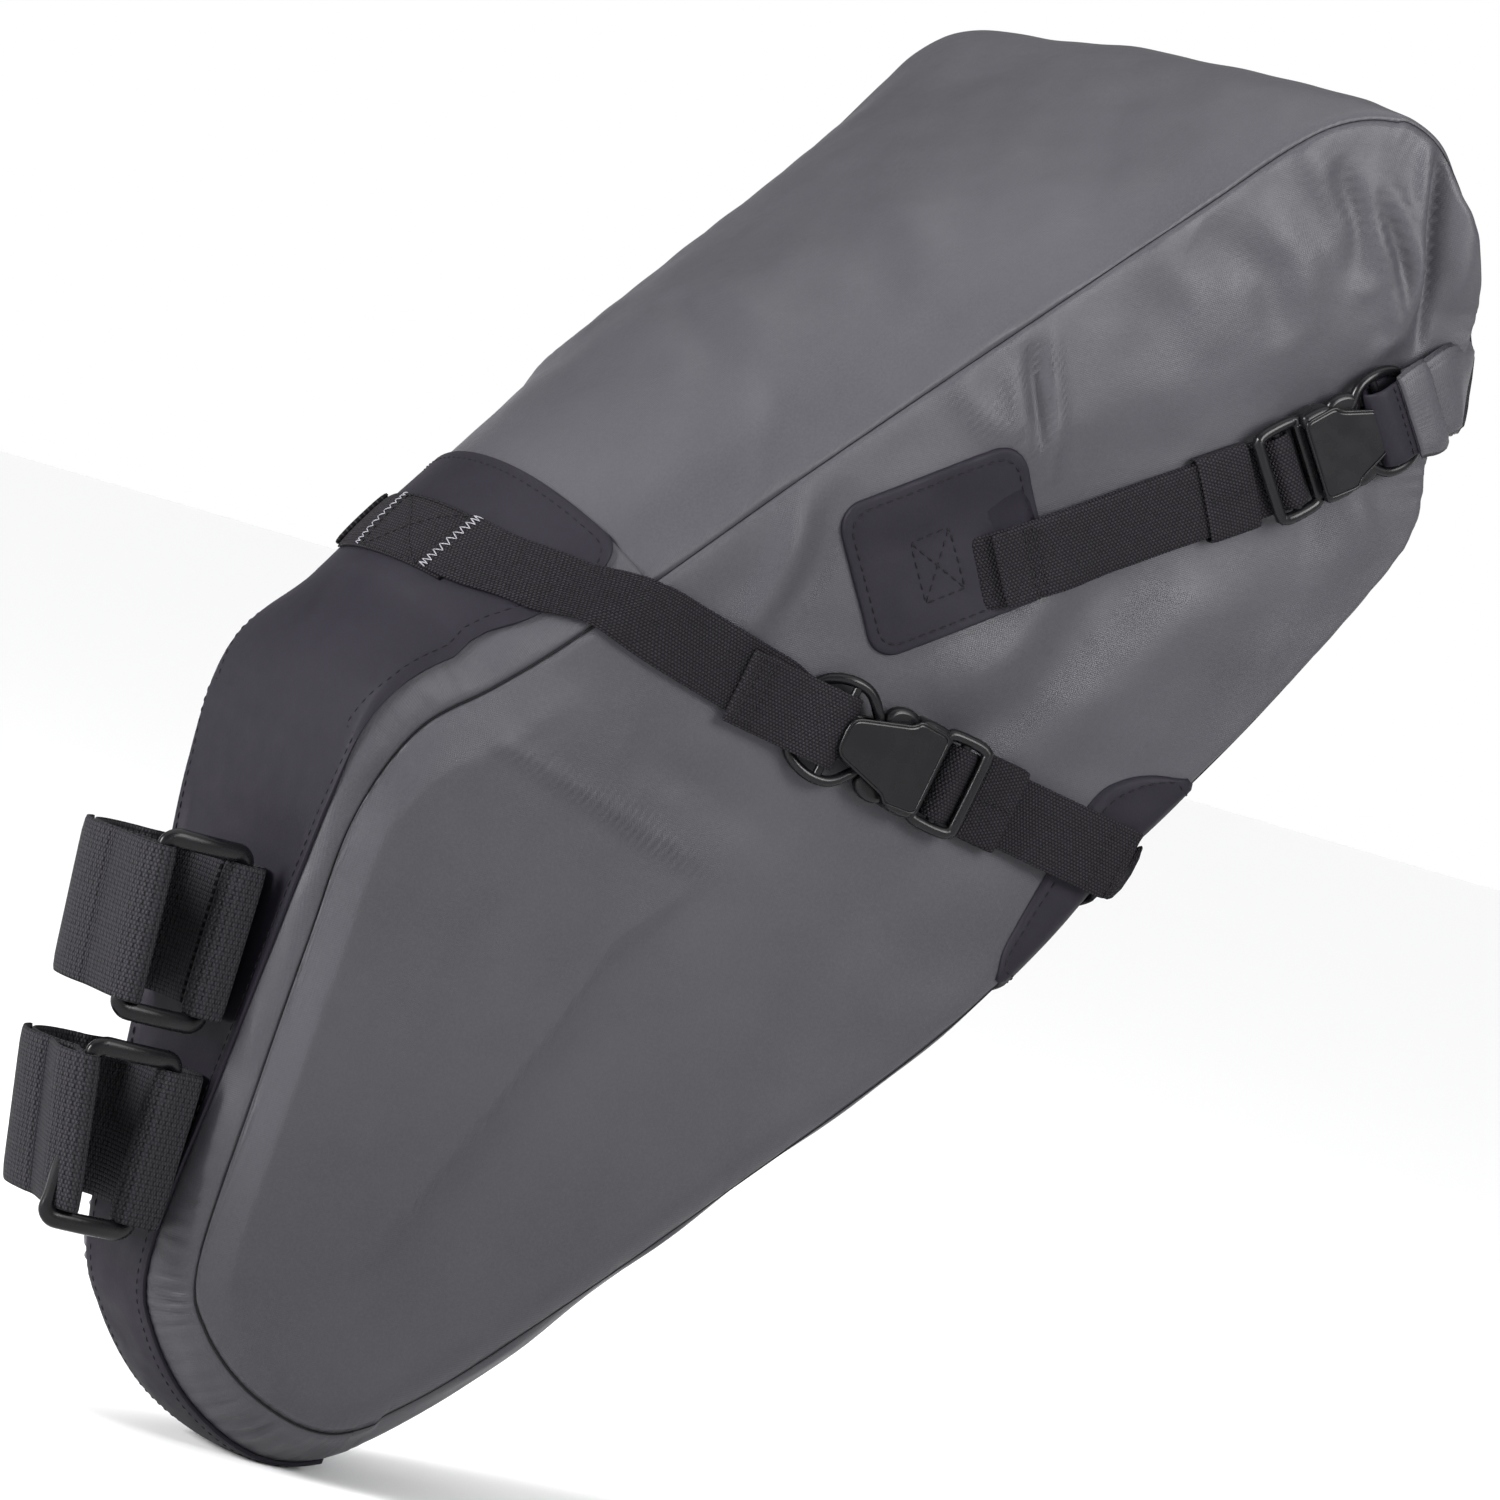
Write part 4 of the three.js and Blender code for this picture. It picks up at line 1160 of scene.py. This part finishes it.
def bottom_patch():
    count = 46
    u = np.linspace(1.50, 2.74, count)
    depth = np.pad(flap_depth(np.linspace(0, 1, count)), 2, mode="edge")
    depth = np.convolve(depth, [0.15, 0.2, 0.3, 0.2, 0.15], "valid")
    seam = station(u)[:, :2]
    flaps = []
    for _, turn in SIDES:
        flap = []
        for r in np.linspace(1, 0.0, 10):
            x, z = (seam - outward(u) * (depth * r)[:, None]).T
            flap.append(turn(np.stack([x, -side_half(x, z), z], -1)))
        flaps.append(flap)
    middle = [band_skin(u, q)[0] for q in np.linspace(-1.94, 1.94, 33)]
    grid = np.stack(flaps[0][:-1] + middle + flaps[1][:-1][::-1], axis=1)
    base, n = on_skin(grid, 0.0)
    rim = np.ones(grid.shape[:2])
    rim[:, [0, -1]] = rim[[0, -1], :] = 0.3
    points, faces = slab(base + n * (1.35 * rim)[..., None], base - n * 0.2)
    columns = np.arange(1, grid.shape[1] + 1)
    uv = np.stack(np.broadcast_arrays(u[:, None] * 60, columns[None] * 2), -1).reshape(-1, 2)
    made = build("bottom_patch", points, faces, BLACK, np.concatenate([uv, uv]))
    settle(made, "bag", "black", "bottom_patch")
    edges = (np.s_[2:-2, 2], np.s_[2:-2, -3], np.s_[2, 3:-3], np.s_[-3, 3:-3])
    paths = [(base[edge] + n[edge] * 1.35, n[edge]) for edge in edges]
    stitches("bottom_patch_thread", paths, "bag", "black", 2.0, 0.9, 0.24)


saddle_anchor()
saddle_straps()
lower_straps()
side_straps()
keepers()
side_patches()
bottom_patch()


# ---------- seatpost straps ----------
def circle_path(r, start, stop, n):
    t = np.radians(np.linspace(start, stop, n))
    return [(POST_X + r * math.cos(a), r * math.sin(a)) for a in t]


def flat_loop(name, path, z0, body, lean=0.0):
    """A band standing on edge along a path (x, y); lean tips it towards the bag below, away from the bag."""
    rows = [[x, y, z0 + HOOK / 2, -lean * np.clip((-x - 12) / 28, 0, 1), 0, 1, 0, 1] for x, y in path]
    made = strap(name, np.array(rows), HOOK, HOOK_T, HOOKED, 1.1)[0]
    settle(made, body, "hook", name)


def oval_ring(path, flat_radius, tall_radius):
    """A closed rod of oval section: tall_radius along z, flat_radius across."""
    t = unit(np.roll(path, -1, 0) - np.roll(path, 1, 0))
    cos, sin = circle(12)
    y = np.array([0.0, 1.0, 0.0])
    points = []
    for p, way, r in zip(path, t, tall_radius):
        points.append(p + cos * unit(np.cross(way, y)) * r + sin * y * flat_radius)
    return np.concatenate(points), tube(len(path), 12, True)


# Level, height of its lower edge, middle radius of the loop, shift of its ring away from the bag, lean.
LOOPS = (("upper", 3.5, 17.2, 0.0, 0.10), ("lower", -51.0, 15.6, 2.6, 0.22))


def seatpost_ring(level, z0, shift):
    """Moulded loop, broad at its two ends and slim where the straps turn round it."""
    half = 12.4
    a, b = rounded_outline(half, 22.3, 3.6, 10).T
    y = -21.5 - 1.6 * (1 - (a / half) ** 2) * (np.abs(b) > 18)
    path = np.stack([-23 - shift + a, y, z0 + HOOK / 2 + b], -1)
    points, faces = oval_ring(path, 1.55, 1.55 + 0.95 * smooth(np.abs(b), 17.5, 21))
    made = build(f"seatpost_ring_{level}", points, faces, PLASTIC, points[:, [0, 2]])
    settle(made, "bag", "plastic", f"seatpost_ring_{level}")


def seatpost_straps():
    for level, z0, radius, shift, lean in LOOPS:
        foot = [(-1.0, 3.0), (-1.1, 8), (-1.3, 12.5), (-2.4, 16.2), (-5.6, 17.9), (-9.6, 17.6)]
        bar = [(-32.0, -15.8), (-31.2, -18.8), (-31.5, -22.2), (-32.6, -24.2)]
        path = foot + circle_path(radius, 62, 222, 16)[1:] + [(x - shift, y) for x, y in bar]
        flat_loop(f"seatpost_strap_{level}", path, z0, "bag", lean)
        tail = [(-32.7, -24.7), (-35.2, -25.2), (-37.4, -24.0), (-38.8, -21.0), (-39.0, -16.6)]
        path = [(x - 0.6 * shift, y) for x, y in tail] + circle_path(radius + 2.15, 204, 130, 10)
        flat_loop(f"seatpost_tail_{level}", path, z0, f"seatpost_tail_{level}", lean)
        sewn = [(-1.0, -4), (-1.1, -9), (-1.2, -14.2), (-2.2, -17.4), (-5.2, -18.9), (-9.4, -18.7)]
        turn = [(-12.2, -18.8), (-14.6, -19.6), (-15.6, -21.6), (-14.6, -23.7), (-12.2, -24.6)]
        path = sewn + [(x - shift, y) for x, y in turn] + [(-8.6, -24.5), (-6.4, -24.1)]
        flat_loop(f"seatpost_tab_{level}", path, z0, "bag")
        seatpost_ring(level, z0, shift)


# ---------- moulded buckles, drawn in the frame of their strap ----------
def soften(points, r, n=5):
    """Rounds the corners of an outline."""
    p = np.asarray(points, float)
    out = []
    for k in range(len(p)):
        a, b, c = p[k - 1], p[k], p[(k + 1) % len(p)]
        d1, d2 = np.linalg.norm(a - b), np.linalg.norm(c - b)
        s, e = b + (a - b) * min(r / d1, 0.48), b + (c - b) * min(r / d2, 0.48)
        t = np.linspace(0, 1, n)[:, None]
        out.append(s * (1 - t) ** 2 + 2 * b * t * (1 - t) + e * t * t)
    return np.concatenate(out)


def moulding(outline, low, high, bevel):
    """A plate of an outline, with rounded edges."""
    curve = bpy.data.curves.new("outline", "CURVE")
    curve.dimensions = "2D"
    curve.fill_mode = "BOTH"
    curve.bevel_depth = bevel
    curve.bevel_resolution = 2
    curve.offset = -bevel
    curve.extrude = (high - low) / 2 - bevel
    spline = curve.splines.new("POLY")
    spline.points.add(len(outline) - 1)
    for point, (a, b) in zip(spline.points, outline):
        point.co = (a, b, 0, 1)
    spline.use_cyclic_u = True
    obj = add("outline", curve)
    bpy.context.view_layer.update()
    mesh = obj.evaluated_get(bpy.context.evaluated_depsgraph_get()).to_mesh()
    points = np.array([v.co for v in mesh.vertices]) + np.array([0, 0, (low + high) / 2])
    faces = [list(f.vertices) for f in mesh.polygons]
    obj.to_mesh_clear()
    bpy.data.objects.remove(obj)
    bpy.data.curves.remove(curve)
    return points, faces


def gather(parts):
    points, faces, base = [], [], 0
    for p, f in parts:
        points.append(np.asarray(p))
        faces += [[int(i) + base for i in q] for q in f]
        base += len(p)
    return np.concatenate(points), faces


def box(a0, a1, half, r, low, high, bevel):
    """A rounded block from a0 to a1 along the strap and half to each side of its middle."""
    return moulding(soften([(a0, -half), (a1, -half), (a1, half), (a0, half)], r), low, high, bevel)


def place_pair(kind, parts, frame, body):
    """Both copies of a moulded piece; each replaces the CAD node of its name."""
    points, faces = gather(parts)
    placed = frame(points[:, 0], points[:, 1], points[:, 2])
    for side, turn in SIDES:
        f = faces if side == "left" else [q[::-1] for q in faces]
        made = build(f"{kind}_{side}", turn(placed), f, PLASTIC, points[:, :2])
        made.modifiers.new("face_weight", "WEIGHTED_NORMAL").keep_sharp = True
        settle(made, body.format(side), "plastic", f"{kind}_{side}")


def cross_bar(a, half, end, middle, radius):
    """A rod across the strap at a, from -half to half, at height end at its ends."""
    path = [(a, -half, end), (a, -5, middle), (a, 5, middle), (a, half, end)]
    return cord_mesh(through(path, 0.8), radius, 10)


def closed_rod(half, shift, radius):
    """A closed rod through one half of a loop and the half's mirror image."""
    path = np.array(half + [(a, -b, c) for a, b, c in half[::-1]] + half[:1], float)
    return cord_mesh(through(path + np.array([shift, 0, 0]), 0.8)[:-1], radius, 12, True)


def mouth_parts(start):
    """The two faces of a female half, its neck, its rounded cheeks and a thin rim round the upper face."""
    edge = [(start, 3.2), (start + 1.4, 5.2), (18.6, 9.7), (19.8, 11.6), (29.4, 11.0)]
    face = np.array(edge + [(a, -b) for a, b in edge[::-1]])
    upper = soften(face, 2.0)
    rim = np.concatenate([upper, np.full((len(upper), 1), 8.25)], 1)
    parts = [moulding(upper, 6.2, 8.5, 0.8), moulding(soften(face, 1.6), 0.3, 2.0, 0.5),
             box(start + 0.8, 9.6, 5.0, 1.6, 0.9, 7.7, 0.5), cord_mesh(rim, 0.42, 6, True)]
    cheek = np.array([(20.6, 8.6), (20.6, 12.6), (24, 13.1), (29.6, 12.8), (29.6, 8.6)])
    for s in (1, -1):
        parts.append(moulding(soften(cheek * [1, s], 1.8), 0.7, 8.0, 1.6))
    return parts


def female_halves():
    """The ring's far end runs under the webbing and its near end meets the neck of the mouth."""
    half = [(-9, 4, 1.1), (-8.4, 9.4, 1.2), (-5.2, 12.2, 2.6), (-0.5, 13.4, 4.0), (4.5, 12.6, 4.6),
            (8.2, 9.4, 4.8), (10.2, 5.8, 4.8)]
    for kind, frame, shift, body in (("saddle_female", SADDLE, 0.0, "bag"),
                                     ("side_female", TOP, 5.0, "roll_end_{}")):
        parts = [closed_rod(half, shift, 1.5), cross_bar(0.9 + shift, 12.9, 4.0, 4.1, 1.25)]
        place_pair(kind, parts + mouth_parts(1.2 + shift), frame, body)


def male_halves():
    half = [(30.4, 10.4, 4.4), (31.4, 11.9, 4.5), (35, 12.3, 4.9), (40, 12.2, 5.4), (42.2, 11.4, 5.7),
            (42.9, 9.2, 5.8)]
    parts = [closed_rod(half, 0.0, 1.62), cross_bar(36.7, 12.0, 4.3, 4.2, 1.5),
             box(28.6, 31.8, 11.2, 1.2, 2.5, 6.0, 0.8), box(13, 31, 1.6, 1.2, 3.2, 5.2, 0.4),
             box(41.7, 44.1, 10.9, 0.9, 4.5, 6.9, 0.7)]
    for kind, frame in (("saddle_male", SADDLE), ("side_male", TOP)):
        place_pair(kind, parts, frame, kind + "_{}")


def latch_arms():
    outline = np.array([(28.6, 5.2), (28.6, 9.2), (22.0, 9.8), (20.4, 12.6), (17.0, 13.4), (13.4, 12.6),
                        (11.4, 10.6), (11.0, 8.2), (12.2, 6.2), (14.6, 5.3)])
    for kind, frame in (("saddle", SADDLE), ("side", TOP)):
        for arm, sign in (("a", 1), ("b", -1)):
            part = moulding(soften(outline * np.array([1, sign]), 1.8), 2.3, 6.1, 1.5)
            place_pair(f"{kind}_latch_{arm}", [part], frame, f"{kind}_latch_{arm}_{{}}")


# ---------- roll closure ----------
def roll_section(drape):
    """Section of the rolled mouth: a soft oblong whose top thins where the flap runs onto it."""
    t = np.linspace(0, 2 * math.pi, 48, endpoint=False)
    h = np.sign(np.cos(t)) * np.abs(np.cos(t)) ** 0.55
    d = np.sign(np.sin(t)) * np.abs(np.sin(t)) ** 0.75
    step = 0.10 * np.sin(np.clip(d, -1, 1) * 7.5) * (np.abs(h) > 0.55)
    thin = 1 - 0.5 * drape * smooth(h, 0.1, 1)
    depth = d * thin * (1 + 0.04 * np.sin(3 * t)) - 0.45 * drape * smooth(h, 0, 1)
    return np.stack([h * (1 - np.abs(step)), depth], -1)


def roll_sweep(name, centre, upright, height, depth, body, node, seed, drape=0.0):
    """The rolled fabric along a line."""
    r = through(np.concatenate([centre, upright, np.stack([height, depth], -1)], 1), 1.6)
    c, up, h, d = r[:, :3], unit(r[:, 3:6]), r[:, 6], r[:, 7]
    t = unit(np.gradient(c, axis=0))
    up = unit(up - t * (up * t).sum(1)[:, None])
    deep = np.cross(t, up)
    section = roll_section(drape)
    run = travelled(c)
    wave = 1 + 0.05 * ripple(np.stack([run, run * 0], -1), 38, seed)
    points = (c[:, None] + section[None, :, :1] * (h / 2 * wave)[:, None, None] * up[:, None]
              + section[None, :, 1:] * (d / 2)[:, None, None] * deep[:, None])
    flat = points.reshape(-1, 3)
    push = unit(points - c[:, None]).reshape(-1, 3)
    flat = flat + push * (ripple(flat * [0.6, 1, 1], 13, seed + 1) * 0.28)[:, None]
    uv = np.stack(np.broadcast_arrays(run[:, None], np.arange(len(section))[None] * 1.6), -1).reshape(-1, 2)
    settle(build(name, flat, tube(len(c), len(section)), SHELL, uv), body, "shell", node)


def roll_parts():
    y = np.array([-87.6, -80, -62, -40, -15, 15, 40, 62, 80, 87.6])
    centre = np.stack([278.2 - 6.2 * (y / 87) ** 4, y, 254.5 + 0.8 * (y / 87) ** 2], -1)
    upright = np.repeat([[-0.14, 0, 0.99]], len(y), 0)
    depth = [7.0, 9.6, 11.6, 12, 12, 12, 12, 11.6, 9.6, 7.0]
    roll_sweep("roll_closure", centre, upright, np.full(len(y), 33.0), depth, "roll", "roll_closure", 21, 1.0)
    wing = np.array([TOP(-3, 0, 4.0), TOP(-8.5, 0, 4.2), (258.6, -98.9, 250.4), (263.4, -95.4, 251.4),
                     (267.6, -91.0, 251.8), (270.6, -86.6, 251.9)])
    tilt, end = -TOP.e2, np.array([-0.1, 0, 0.995])
    wing_up = unit([tilt * (1 - f) + end * f for f in (0, 0.1, 0.35, 0.7, 0.95, 1)])
    wrap = np.array([TOP(0.8, 0, 8.7), TOP(-3, 0, 8.2), TOP(-6.5, 0.4, 7.2), TOP(-8.6, 0.6, 6.2),
                     TOP(-9.4, 0.6, 5.4)])
    wrap_up = np.repeat([tilt], len(wrap), 0)
    tab = [(-9, 6.6), (-4, 7.2), (1.5, 7.9), (6, 9.3), (9.2, 8.4), (10.0, 6.0), (9.0, 3.4), (5, 1.7),
           (0, 1.3), (-6, 1.3), (-9, 2.2)]
    for side, turn in SIDES:
        body = f"roll_end_{side}"
        start, stop = (tuple(turn(q) * 0.001 + np.array([0, 0, DATUM_Z * 0.001])) for q in (wing[-1], wing[1]))
        blended = ("roll", body, start, stop)
        roll_sweep(f"roll_wing_{side}", turn(wing), turn(wing_up), [22.0, 23.0, 24.0, 25.0, 26, 26],
                   [2.6, 3.6, 5.0, 6.2, 7.2, 7.6], blended, f"roll_wing_{side}", 31)
        roll_sweep(f"roll_fold_{side}", turn(wrap), turn(wrap_up), [23.0, 24.4, 25.2, 25.0, 23.6],
                   [1.9, 2.7, 3.4, 3.0, 1.2], body, f"roll_wing_{side}", 47)
        sewn_strap("roll_tab", free_rows(TOP, tab), side, body, (8, 10), 0.86, 0.75, 6,
                   width=21, thick=1.4, material=BLACK)


seatpost_straps()
female_halves()
male_halves()
latch_arms()
roll_parts()
for side, _ in SIDES:
    slots = frame["nodes"][f"nose_stiffener_{side}"].data.materials
    slots.clear()
    slots.append(BLACK)


# ---------- stage ----------
def area_light(name, at, target, size, power, spread=180):
    data = bpy.data.lights.new(name, "AREA")
    data.shape = "RECTANGLE"
    data.size, data.size_y = size
    data.energy = power
    data.spread = math.radians(spread)
    made = add(name, data)
    made.location = at
    made.rotation_mode = "QUATERNION"
    made.rotation_quaternion = (Vector(target) - Vector(at)).to_track_quat("-Z", "Y")


def make_camera():
    """Looks at the bag's left side from ahead, rolled so that the bag leans back in the frame."""
    right = Vector((0.7660, -0.5731, 0.2912))
    down = Vector((0.2176, -0.1950, -0.9564))
    ahead = Vector((0.6049, 0.7960, -0.0246))
    data = bpy.data.cameras.new("camera")
    data.sensor_width = 36
    data.lens = 158.74
    data.clip_start, data.clip_end = 0.05, 60
    made = add("camera", data)
    turn = Matrix((right, -down, -ahead)).transposed().to_4x4()
    made.matrix_world = Matrix.Translation((-0.9196, -1.4028, 0.1551)) @ turn
    bpy.context.scene.camera = made


def make_stage():
    """A wide white floor just under the bag, and a pale studio round it."""
    size = 14.0
    drop = CAD_LOW.z - 0.0005
    mesh = bpy.data.meshes.new("floor")
    corners = [(-size, -size, drop), (size, -size, drop), (size, size, drop), (-size, size, drop)]
    mesh.from_pydata(corners, [], [(0, 1, 2, 3)])
    floor = add("floor", mesh)
    sh = Shader("floor_white", (0.93, 0.93, 0.935), 0.9, 0.1)
    sh.rough(sh.span(sh.noise(3, 3), 0.3, 0.7, 0.85, 0.95))
    mesh.materials.append(sh.material)
    world = bpy.data.worlds.new("studio")
    world.use_nodes = True
    nodes, links = world.node_tree.nodes, world.node_tree.links
    split = nodes.new("ShaderNodeSeparateXYZ")
    ramp = nodes.new("ShaderNodeValToRGB")
    links.new(nodes.new("ShaderNodeTexCoord").outputs["Generated"], split.inputs[0])
    links.new(split.outputs["Z"], ramp.inputs[0])
    links.new(ramp.outputs[0], nodes["Background"].inputs[0])
    nodes["Background"].inputs[1].default_value = SKY
    levels = [(0.0, HORIZON), (0.16, HORIZON), (0.30, HAZE), (0.62, HAZE), (0.86, 1.0)]
    stops = ramp.color_ramp.elements
    while len(stops) < len(levels):
        stops.new(0.5)
    for stop, (at, level) in zip(stops, levels):
        stop.position = at
        stop.color = (level, level, level, 1)
    bpy.context.scene.world = world


SKY = 2.0      # brightness overhead
HORIZON = 0.5  # share of it along the horizon and below
HAZE = 0.08    # share of it between the two
make_stage()
make_camera()
bpy.context.scene.view_settings.view_transform = "Standard"
MIDDLE = (0.13, 0.0, 0.12)   # of the bag, in metres
area_light("key", (-1.9, 0.06, 0.62), MIDDLE, (0.6, 0.8), 82)
area_light("rear", (0.26, -0.78, 0.52), (0.23, -0.09, 0.27), (0.45, 0.45), 1.5, 58)
